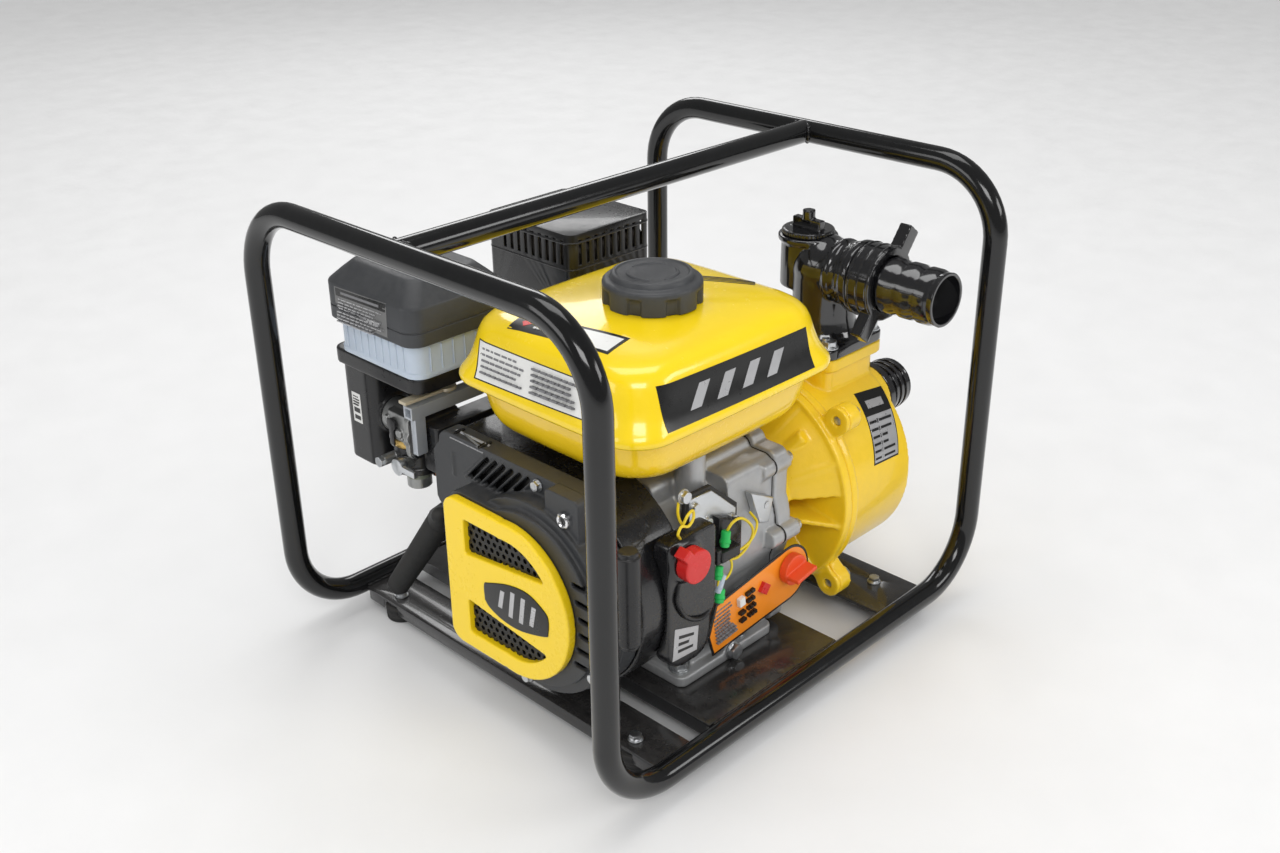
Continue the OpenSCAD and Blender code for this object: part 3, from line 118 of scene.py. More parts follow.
def ramp(nt, fac, stops):
    n = nt.nodes.new("ShaderNodeValToRGB")
    nt.links.new(fac, n.inputs["Fac"])
    e = n.color_ramp.elements
    while len(e) < len(stops):
        e.new(0.5)
    for el, (pos, col) in zip(e, stops):
        el.position = pos
        el.color = (*col, 1) if len(col) == 3 else col
    return n.outputs["Color"]


def mix(nt, fac, a, b, kind="MIX"):
    n = nt.nodes.new("ShaderNodeMix")
    n.data_type = "RGBA"
    n.blend_type = kind
    for sock, x in ((n.inputs[0], fac), (n.inputs[6], a), (n.inputs[7], b)):
        if isinstance(x, (int, float)):
            sock.default_value = x
        elif isinstance(x, (tuple, list)):
            sock.default_value = (*x, 1)
        else:
            nt.links.new(x, sock)
    return n.outputs[2]


def material(name, colour, rough, metal=0.0, coat=0.0, vary=0.12, grain=0.0, grain_scale=900,
             wear=None, edge=0.0006, spec=0.5, dust=0.0, sub=0.0, streak=0.0):
    """Painted, cast, plated or moulded finish: colour and roughness that vary, a surface grain,
    light catching worn edges, and a little dust where the surface faces up."""
    m = bpy.data.materials.new(name)
    m.use_nodes = True
    nt = m.node_tree
    bsdf = nt.nodes["Principled BSDF"]
    geo = nt.nodes.new("ShaderNodeNewGeometry")
    tex = nt.nodes.new("ShaderNodeTexCoord")
    pos = tex.outputs["Object"]
    big = noise_out(nt, pos, 14, 3)
    small = noise_out(nt, pos, 160, 5)
    dark = tuple(c * (1 - vary) for c in colour)
    light = tuple(min(1, c * (1 + vary) + 0.002) for c in colour)
    base = ramp(nt, mix(nt, 0.35, big, small), [(0.3, dark), (0.7, light)])
    bevel = nt.nodes.new("ShaderNodeBevel")
    bevel.samples = 4
    bevel.inputs["Radius"].default_value = edge
    if wear:
        dot = nt.nodes.new("ShaderNodeVectorMath")
        dot.operation = "DOT_PRODUCT"
        nt.links.new(bevel.outputs[0], dot.inputs[0])
        nt.links.new(geo.outputs["Normal"], dot.inputs[1])
        worn = node_math(nt, "SUBTRACT", 1.0, dot.outputs["Value"])
        worn = node_math(nt, "MULTIPLY", worn, node_math(nt, "MULTIPLY", small, 5.0))
        worn = node_math(nt, "MINIMUM", worn, 0.5)
        base = mix(nt, worn, base, wear)
    if streak:
        scale = nt.nodes.new("ShaderNodeMapping")
        scale.inputs["Scale"].default_value = (60, 60, 900)
        nt.links.new(pos, scale.inputs["Vector"])
        wave = noise_out(nt, scale.outputs[0], 1, 3)
        base = mix(nt, streak, base, ramp(nt, wave, [(0.35, dark), (0.65, light)]))
    if dust:
        up = nt.nodes.new("ShaderNodeSeparateXYZ")
        nt.links.new(geo.outputs["Normal"], up.inputs[0])
        amount = node_math(nt, "MULTIPLY", node_math(nt, "MAXIMUM", up.outputs["Z"], 0.0), dust)
        amount = node_math(nt, "MULTIPLY", amount, small)
        base = mix(nt, amount, base, (0.32, 0.3, 0.27))
    nt.links.new(base, bsdf.inputs["Base Color"])
    swing = 0.35 * rough
    low, high = max(rough - swing, 0.03), min(rough + swing, 1)
    spread = ramp(nt, mix(nt, 0.5, big, small), [(0.25, (low,) * 3), (0.75, (high,) * 3)])
    nt.links.new(spread, bsdf.inputs["Roughness"])
    bsdf.inputs["Metallic"].default_value = metal
    bsdf.inputs["Specular IOR Level"].default_value = spec
    bsdf.inputs["Coat Weight"].default_value = coat
    bsdf.inputs["Coat Roughness"].default_value = 0.06
    if sub:
        bsdf.inputs["Subsurface Weight"].default_value = sub
        bsdf.inputs["Subsurface Radius"].default_value = (0.01, 0.01, 0.012)
    normal = bevel.outputs[0]
    for strength, scale, on in ((0.12, 40, coat > 0), (grain, grain_scale, grain > 0)):
        if on:
            bump = nt.nodes.new("ShaderNodeBump")
            bump.inputs["Strength"].default_value = strength
            bump.inputs["Distance"].default_value = 0.0004 if scale > 100 else 0.0006
            nt.links.new(noise_out(nt, pos, scale, 4), bump.inputs["Height"])
            nt.links.new(normal, bump.inputs["Normal"])
            normal = bump.outputs[0]
    nt.links.new(normal, bsdf.inputs["Normal"])
    return m


MAT = {
    "cage": material("cage_gloss_black", (0.005, 0.0052, 0.0055), 0.14, coat=0.45, vary=0.25, grain=0.05,
                     wear=(0.04, 0.04, 0.04), spec=0.35),
    "plate": material("plate_black", (0.010, 0.010, 0.011), 0.22, coat=0.4, vary=0.3, grain=0.08,
                      wear=(0.09, 0.09, 0.09), dust=0.1),
    "rubber": material("rubber_black", (0.012, 0.012, 0.012), 0.75, vary=0.2, grain=0.25, dust=0.2),
    "zinc": material("zinc_plated", (0.66, 0.68, 0.70), 0.36, metal=1.0, vary=0.10, grain=0.10,
                     wear=(0.85, 0.85, 0.85)),
    "satin": material("satin_zinc", (0.46, 0.49, 0.53), 0.45, metal=0.55, vary=0.10, grain=0.12,
                      wear=(0.75, 0.75, 0.76)),
    "steel": material("machined_steel", (0.45, 0.46, 0.47), 0.3, metal=1.0, vary=0.12, grain=0.08,
                      streak=0.3),
    "chrome": material("chrome", (0.80, 0.80, 0.81), 0.07, metal=1.0, vary=0.04),
    "cast": material("cast_aluminium", (0.46, 0.465, 0.47), 0.45, metal=0.6, vary=0.16, grain=0.5,
                     grain_scale=700, wear=(0.7, 0.7, 0.7), dust=0.08),
    "carb": material("carburettor_zinc", (0.34, 0.345, 0.34), 0.36, metal=0.85, vary=0.22, grain=0.35,
                     grain_scale=800, wear=(0.75, 0.75, 0.74)),
    "brass": material("brass", (0.62, 0.42, 0.14), 0.3, metal=1.0, vary=0.15, grain=0.1),
    "copper": material("copper", (0.55, 0.25, 0.13), 0.35, metal=1.0, vary=0.2, grain=0.1),
    "tank": material("tank_yellow", (0.93, 0.66, 0.004), 0.24, coat=0.6, vary=0.03, grain=0.03),
    # the pan takes a darker, deeper copy of the tank's yellow: painted shade on the tank's lower half, below
    # the seam
    "tank_pan_shade": material("tank_yellow_pan_painted_shade", (0.90, 0.60, 0.008), 0.24, coat=0.7, vary=0.04, grain=0.03),
    "casting": material("cast_yellow", (0.88, 0.58, 0.010), 0.34, coat=0.35, vary=0.07, grain=0.35,
                        grain_scale=500, wear=(0.95, 0.8, 0.3), dust=0.05),
    "grille": material("grille_yellow", (0.93, 0.65, 0.006), 0.3, coat=0.3, vary=0.02, grain=0.04,
                       grain_scale=600),
    "charcoal": material("charcoal_plastic", (0.030, 0.032, 0.035), 0.42, vary=0.18, grain=0.30,
                         grain_scale=1400, wear=(0.10, 0.10, 0.11), dust=0.12),
    "cap": material("cap_plastic", (0.045, 0.048, 0.053), 0.44, vary=0.16, grain=0.30, grain_scale=1400,
                    wear=(0.12, 0.12, 0.13), dust=0.10),
    "blower": material("blower_black", (0.009, 0.009, 0.010), 0.27, coat=0.25, vary=0.25, grain=0.06,
                       wear=(0.06, 0.06, 0.06)),
    "black": material("black_plastic", (0.009, 0.009, 0.010), 0.30, vary=0.25, grain=0.12, grain_scale=1500,
                      wear=(0.05, 0.05, 0.05), dust=0.06),
    "gloss": material("gloss_black_casting", (0.006, 0.006, 0.007), 0.14, coat=0.8, vary=0.25, grain=0.12,
                      grain_scale=300, wear=(0.05, 0.05, 0.05), spec=0.6),
    "milky": material("milky_plastic", (0.50, 0.57, 0.66), 0.34, vary=0.05, grain=0.05, sub=0.35),
    "guard": material("guard_black", (0.008, 0.008, 0.009), 0.30, coat=0.2, vary=0.3, grain=0.10,
                      wear=(0.12, 0.12, 0.12)),
    "muffler": material("muffler_steel", (0.08, 0.07, 0.062), 0.5, metal=0.7, vary=0.35, grain=0.2),
    "mesh": material("grille_mesh_black", (0.006, 0.006, 0.006), 0.4, vary=0.2, grain=0.1),
    "red": material("knob_red", (0.62, 0.020, 0.018), 0.28, vary=0.06, grain=0.05, sub=0.05,
                    wear=(0.8, 0.15, 0.12)),
    "orange_red": material("dipstick_orange", (0.80, 0.085, 0.020), 0.35, vary=0.06, grain=0.08, sub=0.05),
    "tag": material("tag_orange", (0.90, 0.27, 0.012), 0.38, coat=0.2, vary=0.04, grain=0.05),
    "ink": material("label_black", (0.008, 0.008, 0.008), 0.3, vary=0.2, grain=0.04),
    "paper": material("label_white", (0.78, 0.78, 0.76), 0.35, vary=0.03, grain=0.04),
    "silver": material("label_silver", (0.50, 0.50, 0.51), 0.3, metal=0.5, vary=0.06, grain=0.05),
    "grey": material("label_grey", (0.16, 0.16, 0.16), 0.4, vary=0.1, grain=0.04),
    "print": material("print_grey", (0.20, 0.20, 0.21), 0.5, vary=0.15),
    "yellow_wire": material("wire_yellow", (0.80, 0.60, 0.02), 0.35, vary=0.06, grain=0.05),
    "green": material("connector_green", (0.02, 0.50, 0.10), 0.35, vary=0.1, grain=0.05),
    "white": material("ceramic_white", (0.75, 0.74, 0.70), 0.2, coat=0.4, vary=0.04),
    "foam": material("filter_foam", (0.45, 0.36, 0.18), 0.95, vary=0.15, grain=1.0, grain_scale=700),
    "iron": material("dark_iron", (0.10, 0.10, 0.11), 0.45, metal=0.8, vary=0.2, grain=0.3,
                     wear=(0.5, 0.5, 0.5)),
    "cup": material("sediment_cup", (0.20, 0.22, 0.17), 0.32, vary=0.10, grain=0.06, sub=0.2),
    "lever": material("lever_beige", (0.52, 0.46, 0.34), 0.34, metal=0.3, vary=0.10, grain=0.06),
    "rope": material("starter_cord", (0.03, 0.03, 0.032), 0.8, vary=0.3, grain=0.8, grain_scale=1200),
    "gasket": material("gasket", (0.03, 0.028, 0.025), 0.8, vary=0.2, grain=0.3),
}


# ---------------------------------------------------------------- mesh helpers
def shade(mesh, angle=35):
    """Smooth faces, with a hard edge wherever two faces meet at more than angle degrees."""
    bm = bmesh.new()
    bm.from_mesh(mesh)
    limit = math.radians(angle)
    for f in bm.faces:
        f.smooth = True
    for e in bm.edges:
        e.smooth = len(e.link_faces) == 2 and e.calc_face_angle(0) < limit
    bm.to_mesh(mesh)
    bm.free()


def bake(obj):
    """Applies the object's modifiers to its mesh."""
    dg = bpy.context.evaluated_depsgraph_get()
    mesh = bpy.data.meshes.new_from_object(obj.evaluated_get(dg))
    obj.modifiers.clear()
    obj.data = mesh


def place(name, bm, node, mat, *replaced, slot=None, angle=35, ride=True):
    """Makes a piece from bm, in metres, that rides on node's body and stands for the replaced nodes."""
    bmesh.ops.recalc_face_normals(bm, faces=bm.faces)
    mesh = bpy.data.meshes.new(name)
    bm.to_mesh(mesh)
    bm.free()
    if angle:
        shade(mesh, angle)
    obj = bpy.data.objects.new(name, mesh)
    bpy.context.scene.collection.objects.link(obj)
    mesh.materials.append(MAT[mat])
    if ride:
        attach(obj, frame["nodes"][node]["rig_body"])
    if replaced:
        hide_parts(*replaced)
    slot or SLOT_OF[node]
    return obj


SLOT_OF = {p["node"]: p["material_slot"] for p in frame["record"]["subparts"]}


def cad(*nodes):
    bm = bmesh.new()
    for n in nodes:
        bm.from_mesh(frame["nodes"][n].data)
    bmesh.ops.remove_doubles(bm, verts=bm.verts, dist=1e-6)
    return bm


def crisp(name, node, mat, width=0.8, segments=2, extra=None, replaced=None, limit=32, body=None):
    """The CAD shape with its flat faces joined up and its edges rounded over."""
    bm = cad(node)
    bmesh.ops.dissolve_limit(bm, angle_limit=math.radians(1.0), verts=bm.verts, edges=bm.edges)
    if extra:
        extra(bm)
    obj = place(name, bm, body or node, mat, *(replaced or (node,)), angle=None)
    bev = obj.modifiers.new("edge", "BEVEL")
    bev.width = width * MM
    bev.segments = segments
    bev.limit_method = "ANGLE"
    bev.angle_limit = math.radians(limit)
    bake(obj)
    shade(obj.data, 40)
    return obj


def cast(name, node, mat, voxel=1.0, passes=4, ratio=0.3, extra=None, replaced=None, source=None):
    """The CAD shape, with anything extra fused on, skinned over with the small fillets of a casting."""
    bm = source if source else cad(node)
    if extra:
        extra(bm)
    obj = place(name, bm, node, mat, *(replaced or (node,)), angle=None)
    re = obj.modifiers.new("skin", "REMESH")
    re.mode = "VOXEL"
    re.voxel_size = voxel * MM * 1
    sm = obj.modifiers.new("soft", "SMOOTH")
    sm.factor = 0.5
    sm.iterations = passes
    if ratio < 1:
        de = obj.modifiers.new("thin", "DECIMATE")
        de.ratio = ratio * 1
    bake(obj)
    for p in obj.data.polygons:
        p.use_smooth = True
    return obj


def axes(direction):
    """Two unit vectors across a direction."""
    d = direction.normalized()
    side = d.cross(Vector((0, 0, 1)) if abs(d.z) < 0.9 else Vector((0, 1, 0))).normalized()
    return side, d.cross(side).normalized()


def loft(bm, rings, caps=True, closed=False):
    made = [[bm.verts.new(p) for p in ring] for ring in rings]
    pairs = list(zip(made, made[1:])) + ([(made[-1], made[0])] if closed else [])
    for a, b in pairs:
        n = len(a)
        for i in range(n):
            bm.faces.new((a[i], a[(i + 1) % n], b[(i + 1) % n], b[i]))
    if caps and not closed:
        bm.faces.new(made[0])
        bm.faces.new(list(reversed(made[-1])))
    return made


def circle(centre, a, b, r, n):
    """Points on a circle across the unit vectors a and b, in metres."""
    turns = [2 * math.pi * i / n for i in range(n)]
    return [centre + a * (r * math.cos(t)) + b * (r * math.sin(t)) for t in turns]


def lathe(bm, origin, axis, profile, n=48, caps=True):
    """Turned shape: profile holds (radius, distance along the axis), in millimetres."""
    o, d = v(*origin), Vector(axis).normalized()
    a, b = axes(d)
    return loft(bm, [circle(o + d * (h * MM), a, b, max(r, 0.01) * MM, n) for r, h in profile], caps)


def turned(name, node, mat, origin, axis, profile, n=48):
    """A small turned piece on its own."""
    bm = bmesh.new()
    lathe(bm, origin, axis, profile, n)
    return place(name, bm, node, mat)


def rod(bm, p0, p1, r, edge=0.6, n=32):
    """Round bar between two points in millimetres, with its ends rounded over."""
    a, b = Vector(p0), Vector(p1)
    d = (b - a).length
    e = min(edge, r * 0.5, d * 0.4)
    rims = [(r - e, 0), (r - 0.3 * e, 0.3 * e), (r, e)]
    lathe(bm, p0, b - a, rims + [(rad, d - h) for rad, h in reversed(rims)], n)


def sweep(bm, points, r, n=12, closed=False, caps=True):
    """Round wire or tube along points in metres. r is one radius in millimetres, or one for each point."""
    pts = [Vector(p) for p in points]
    count = len(pts)
    rings, side = [], None
    for i, p in enumerate(pts):
        prev = pts[i - 1] if i or closed else p
        nxt = pts[(i + 1) % count] if i < count - 1 or closed else p
        t = (nxt - prev).normalized()
        if side is None:
            side, _ = axes(t)
        side = (side - t * side.dot(t)).normalized()
        rad = (r[i] if isinstance(r, (list, tuple)) else r) * MM
        rings.append(circle(p, side, t.cross(side), rad, n))
    if closed:  # undo the twist that has built up, so that the last ring meets the first
        first, last = rings[0], rings[-1]
        shift = min(range(n), key=lambda k: (last[k] - first[0]).length)
        rings[-1] = last[shift:] + last[:shift]
    return loft(bm, rings, caps, closed)


def arc(centre, a, b, r, t0, t1, n):
    """Points on an arc, in metres: centre in millimetres, a and b unit vectors, angles in degrees."""
    c = v(*centre)
    out = []
    for i in range(n + 1):
        t = math.radians(t0 + (t1 - t0) * i / n)
        out.append(c + (Vector(a) * math.cos(t) + Vector(b) * math.sin(t)) * (r * MM))
    return out


def spline(points, n=10):
    """Smooth curve through points in millimetres, as points in metres."""
    p = [Vector(q) for q in points]
    p = [p[0] * 2 - p[1]] + p + [p[-1] * 2 - p[-2]]
    out = []
    for i in range(1, len(p) - 2):
        for k in range(n):
            t = k / n
            a, b, c, d = p[i - 1:i + 3]
            curve, twist = 2 * a - 5 * b + 4 * c - d, 3 * b - a - 3 * c + d
            out.append(0.5 * ((2 * b) + (c - a) * t + curve * t * t + twist * t ** 3) * MM)
    out.append(p[-2] * MM)
    return out


def round_rect(x0, x1, y0, y1, r, n=6):
    """Corner points, counter-clockwise, in millimetres."""
    out = []
    r = min(r, (x1 - x0) / 2 - 0.01, (y1 - y0) / 2 - 0.01)
    for cx, cy, a0 in ((x1 - r, y1 - r, 0), (x0 + r, y1 - r, 90), (x0 + r, y0 + r, 180),
                       (x1 - r, y0 + r, 270)):
        for i in range(n + 1):
            a = math.radians(a0 + 90 * i / n)
            out.append((cx + r * math.cos(a), cy + r * math.sin(a)))
    return out


def grow(points, d):
    """A flat outline moved out by d, in millimetres."""
    n = len(points)
    out = []
    for i in range(n):
        p0, p1, p2 = Vector(points[i - 1]), Vector(points[i]), Vector(points[(i + 1) % n])
        e0, e1 = (p1 - p0), (p2 - p1)
        if e0.length < 1e-9 or e1.length < 1e-9:
            out.append(tuple(p1))
            continue
        n0, n1 = Vector((e0.y, -e0.x)).normalized(), Vector((e1.y, -e1.x)).normalized()
        m = n0 + n1
        m = n0 if m.length < 1e-6 else m * (1 / max(m.length_squared / 2, 0.3))
        out.append(tuple(p1 + m * d))
    return out


PLANES = {
    "x": lambda p, h: v(h, p[0], p[1]),
    "y": lambda p, h: v(p[0], h, p[1]),
    "z": lambda p, h: v(p[0], p[1], h),
}


def slab(bm, outline, plane, h0, h1, edge=1.0, steps=3):
    """Prism of a counter-clockwise outline between two heights along an axis, its rims rounded over."""
    at = PLANES[plane]
    up = 1 if h1 > h0 else -1
    edge = min(edge, abs(h1 - h0) * 0.45)
    turns = [math.radians(90 * i / steps) for i in range(steps + 1)]
    rim = [(edge * (1 - math.sin(a)), edge * (1 - math.cos(a))) for a in turns]
    steps_up = [(h0 + up * h, inset) for h, inset in reversed(rim)]
    steps_up += [(h1 - up * h, inset) for h, inset in rim]
    loft(bm, [[at(p, h) for p in grow(outline, -inset)] for h, inset in steps_up])


def box_at(bm, x, y, z, r=2.0, edge=1.0):
    slab(bm, round_rect(x[0], x[1], y[0], y[1], r), "z", z[0], z[1], edge)


def hexagon(bm, centre, axis, flats, h, chamfer=0.8):
    """Bolt head or nut with turned chamfers, standing on centre."""
    o, d = v(*centre), Vector(axis).normalized()
    a, b = axes(d)
    rings = []
    for grown, t in ((0.90, h), (1.0, h - chamfer), (1.0, 0)):
        ring = []
        for i in range(24):
            ang = 2 * math.pi * i / 24
            # a hexagon clipped by a circle gives the curved chamfer of a real head
            flat = flats / 2 / math.cos((ang + math.pi / 6) % (math.pi / 3) - math.pi / 6)
            rad = min(flat, flats / 2 * 1.155 * grown if grown < 1 else flat)
            ring.append(o + (a * math.cos(ang) + b * math.sin(ang)) * (rad * MM) + d * (t * MM))
        rings.append(ring)
    loft(bm, rings)


def screw_head(bm, centre, axis, d):
    """Washer, spring washer and flanged hexagon head of a bolt of diameter d, in millimetres."""
    c, u = Vector(centre), Vector(axis).normalized()
    lathe(bm, centre, axis, [(d * 1.1 - 0.3, 0), (d * 1.1, 0.3), (d * 1.1, 1.1), (d * 1.1 - 0.4, 1.5)], 32)
    lathe(bm, c + u * 1.5, axis, [(d * 0.9, 0), (d * 0.95, 0.5), (d * 0.8, 1.4)], 32)
    hexagon(bm, c + u * 1.9, axis, d * 1.6, d * 0.62)
    lathe(bm, c + u * (1.9 + d * 0.62), axis, [(d * 0.62, -0.4), (d * 0.55, 0.05), (d * 0.40, -0.25)], 24)


# ---------------------------------------------------------------- cage
def build_cage():
    lo, hi = span("frame_loop")
    r = 11.0  # of the tube
    hx, ry = hi.x - r, hi.y - r
    z0, z1 = lo.z + r, hi.z - r
    bend = 65.0
    path = []
    for s in (1, -1):  # one hoop and the bends beside it, then the same turned half round
        for (x, y, z), start, end in (
            ((hx - bend, -ry, z0 + bend), -Z, X), ((hx, -ry + bend, z1 - bend), -Y, Z),
            ((hx, ry - bend, z1 - bend), Z, Y), ((hx - bend, ry, z0 + bend), X, -Z),
        ):
            start, end = (Vector((s * d.x, s * d.y, d.z)) for d in (start, end))
            path += arc((s * x, s * y, z), start, end, bend, 0, 90, 14)
    bm = bmesh.new()
    sweep(bm, path, r, 36, closed=True)
    place("cage_tube", bm, "frame_loop", "cage", "frame_loop", angle=60)
    # the bar between the hoops, coped to sit on them, with a rippled weld at each end
    by, bz = 8.0, z1
    br = r - 0.15
    bm = bmesh.new()
    seg, rings = 48, []
    for s, end in ((-1, -hx), (1, hx)):
        ring = []
        for i in range(seg):
            t = 2 * math.pi * i / seg
            y, z = br * math.cos(t), br * math.sin(t)
            ring.append(v(end - s * math.sqrt(max((r + 0.05) ** 2 - z * z, 0.2)), by + y, bz + z))
        rings.append(ring)
    loft(bm, rings, caps=False)
    place("top_bar_tube", bm, "top_bar", "cage", "top_bar", angle=60)
    bm = bmesh.new()
    for s in (-1, 1):
        bead, size = [], []
        for i in range(96):
            t = 2 * math.pi * i / 96
            y, z = (br + 0.4) * math.cos(t), (br + 0.4) * math.sin(t)
            x = s * (hx - math.sqrt(max((r + 0.4) ** 2 - z * z, 1.0)))
            z = max(min(z, r - 2.5), -r + 2.5)
            bead.append(v(x, by + y, bz + z))
            size.append(1.7 + 0.35 * math.sin(t * 16) + random.uniform(-0.12, 0.12))
        sweep(bm, bead, size, 8, closed=True)
    place("cage_welds", bm, "top_bar", "cage", angle=60)
    for node in ("front_cross_plate", "rear_cross_plate", "engine_base_plate"):
        crisp(node + "_shaped", node, "plate", 0.9)
    # fillet welds where the plates meet the side rails
    bm = bmesh.new()
    welds = (("front_cross_plate", -180, -141), ("rear_cross_plate", 128, 190),
             ("engine_base_plate", -115, 52))
    for node, x0, x1 in welds:
        top = span(node)[1].z
        for s in (-1, 1):
            count = max(int((x1 - x0) / 3), 4)
            up = top - z0
            out = math.sqrt(max(r * r - up * up, 1.0)) if up < r else 0
            y = s * (ry - max(out, 3) + 0.6)
            line = [v(x0 + (x1 - x0) * i / count, y, top + 0.4) for i in range(count + 1)]
            size = [1.4 + 0.3 * math.sin(i * 2.1) + random.uniform(-0.1, 0.1) for i in range(count + 1)]
            sweep(bm, line, size, 8)
    place("plate_welds", bm, "front_cross_plate", "plate", angle=60)
    # rubber feet, stepped, with a ribbed skirt, and their bolts
    top, plate_top = span("rubber_feet")[1].z, span("front_cross_plate")[1].z
    skirt = [(8, 2.0), (9.5, 0), (14.2, 0), (15.2, 0.6), (15.6, 2), (15.3, 4), (15.9, 5), (15.3, 6.2),
             (15.9, 7.5), (15.4, 8.6), (16, 10), (16, top - 5.2), (15.4, top - 4.2), (13, top - 4),
             (13, top - 0.5), (12.5, top)]
    feet, foot_bolts = bmesh.new(), bmesh.new()
    for x, y in ((-168, -160), (-168, 160), (168, -160), (168, 160)):
        lathe(feet, (x, y, 0), Z, skirt, 40)
        screw_head(foot_bolts, (x, y, plate_top), Z, 6)
        rod(foot_bolts, (x, y, plate_top - 13), (x, y, plate_top), 3, 0.4, 16)
    place("feet_moulded", feet, "rubber_feet", "rubber", "rubber_feet")
    place("foot_bolts_shaped", foot_bolts, "foot_bolts", "zinc", "foot_bolts")


build_cage()


# ---------------------------------------------------------------- shapes read from the CAD nodes
@functools.lru_cache(maxsize=None)
def islands(node):
    """Box of each separate solid of a node, in millimetres."""
    bm = cad(node)
    bm.verts.ensure_lookup_table()
    seen, out = set(), []
    for start in bm.verts:
        if start.index in seen:
            continue
        stack, pts = [start], []
        seen.add(start.index)
        while stack:
            p = stack.pop()
            pts.append(p.co.copy())
            for e in p.link_edges:
                q = e.other_vert(p)
                if q.index not in seen:
                    seen.add(q.index)
                    stack.append(q)
        out.append([Vector([end(p[i] for p in pts) for i in range(3)]) / MM for end in (min, max)])
    bm.free()
    return out


def turn_of(loop):
    """Above zero for an anticlockwise outline."""
    return sum(loop[i - 1][0] * loop[i][1] - loop[i][0] * loop[i - 1][1] for i in range(len(loop)))


def face_loops(node, axis, sign):
    """Outlines of a node's flat end face, as 2-D points in millimetres, the longest outline first."""
    k = "xyz".index(axis)
    keep = [i for i in range(3) if i != k]
    bm = cad(node)
    end = max(sign * p.co[k] for p in bm.verts)
    faces = {f for f in bm.faces if sign * f.normal[k] > 0.99
             and all(abs(sign * p.co[k] - end) < 2e-5 for p in f.verts)}
    nxt = {}
    for f in faces:
        for lp in f.loops:
            if sum(g in faces for g in lp.edge.link_faces) == 1:
                nxt[lp.vert] = lp.link_loop_next.vert
    loops = []
    while nxt:
        p, q = nxt.popitem()
        loop = [p]
        while q in nxt:
            loop.append(q)
            q = nxt.pop(q)
        loops.append([tuple(p.co[i] / MM for i in keep) for p in loop])
    bm.free()
    loops.sort(key=lambda lp: -sum(math.dist(lp[i], lp[i - 1]) for i in range(len(lp))))
    for lp in loops:
        if turn_of(lp) < 0:
            lp.reverse()
    return loops


def bolts(name, node, way, mat="zinc"):
    """Bolts with washers in place of a node's bolts: way gives the side each head faces."""
    bm = bmesh.new()
    for lo, hi in islands(node):
        mid = (lo + hi) / 2
        axis = Vector(way(mid))
        k = max(range(3), key=lambda i: abs(axis[i]))
        d = (hi - lo)[(k + 1) % 3] / 2.2
        top = hi[k] if axis[k] > 0 else lo[k]
        at = mid.copy()
        at[k] = top - axis[k] * (1.5 + 0.65 * d)
        tail = mid.copy()
        tail[k] = lo[k] if axis[k] > 0 else hi[k]
        screw_head(bm, at, axis, d)
        rod(bm, at, tail, d / 2, 0.3, 16)
    return place(name, bm, node, mat, node)


def tree_of(*objs):
    bm = bmesh.new()
    for ob in objs:
        bm.from_mesh(ob.data)
    tree = BVHTree.FromBMesh(bm)
    bm.free()
    return tree


def decal(name, node, tree, corners, toward, marks, lift=0.2, cell=5.0):
    """Printed label laid on a surface. Its four corners run anticlockwise from the lower left, and each
    mark is (material, outline): an outline is (u0, w0, u1, w1) or a list of points, both in label units."""
    c = [Vector(p) for p in corners]
    d = Vector(toward).normalized()
    wide = max((c[1] - c[0]).length, (c[2] - c[3]).length)
    tall = max((c[3] - c[0]).length, (c[2] - c[1]).length)

    def at(u, w, h):
        p = (c[0] * (1 - u) * (1 - w) + c[1] * u * (1 - w) + c[2] * u * w + c[3] * (1 - u) * w) * MM
        hit, normal, _, _ = tree.ray_cast(p - d * 0.04, d, 0.09)
        if hit is None:
            hit, normal, _, _ = tree.find_nearest(p)
        if normal.dot(d) > 0:
            normal = -normal
        return hit + normal * (h * MM)

    made = {}
    for level, (mat, shape) in enumerate(marks):
        bm = made.setdefault(mat, bmesh.new())
        h = lift + 0.06 * level
        if isinstance(shape, tuple):
            u0, w0, u1, w1 = shape
            nu, nw = max(1, int((u1 - u0) * wide / cell)), max(1, int((w1 - w0) * tall / cell))
            columns = [u0 + (u1 - u0) * i / nu for i in range(nu + 1)]
            rows = [[(u, w0 + (w1 - w0) * j / nw) for u in columns] for j in range(nw + 1)]
            top = [[bm.verts.new(at(u, w, h)) for u, w in row] for row in rows]
            low = [[bm.verts.new(at(u, w, -0.15)) for u, w in row] for row in rows]
            for j in range(nw):
                for i in range(nu):
                    bm.faces.new((top[j][i], top[j][i + 1], top[j + 1][i + 1], top[j + 1][i]))
                    bm.faces.new((low[j][i], low[j + 1][i], low[j + 1][i + 1], low[j][i + 1]))
            ring = [(0, i) for i in range(nu)] + [(j, nu) for j in range(nw)]
            ring += [(nw, i) for i in range(nu, 0, -1)] + [(j, 0) for j in range(nw, 0, -1)]
            for (a, b), (e, f) in zip(ring, ring[1:] + ring[:1]):
                bm.faces.new((top[e][f], top[a][b], low[a][b], low[e][f]))
        else:
            loft(bm, [[at(u, w, -0.15) for u, w in shape], [at(u, w, h) for u, w in shape]])
    for mat, bm in made.items():
        place(f"{name}_{mat}", bm, node, mat, angle=30)


def print_lines(mat, u0, u1, w0, w1, rows, fill=0.45, gaps=14):
    """Rows of short unreadable dashes that stand for small print."""
    out = []
    step = (w1 - w0) / rows
    for r in range(rows):
        w = w1 - (r + 1) * step + step * (1 - fill) / 2
        end = u0 + (u1 - u0) * random.uniform(0.72, 1.0)
        u = u0
        while u < end - 0.01:
            n = min(u + (u1 - u0) / gaps * random.uniform(0.5, 1.6), end)
            out.append((mat, (u, w, n, w + step * fill)))
            u = n + (u1 - u0) / gaps * 0.28
    return out


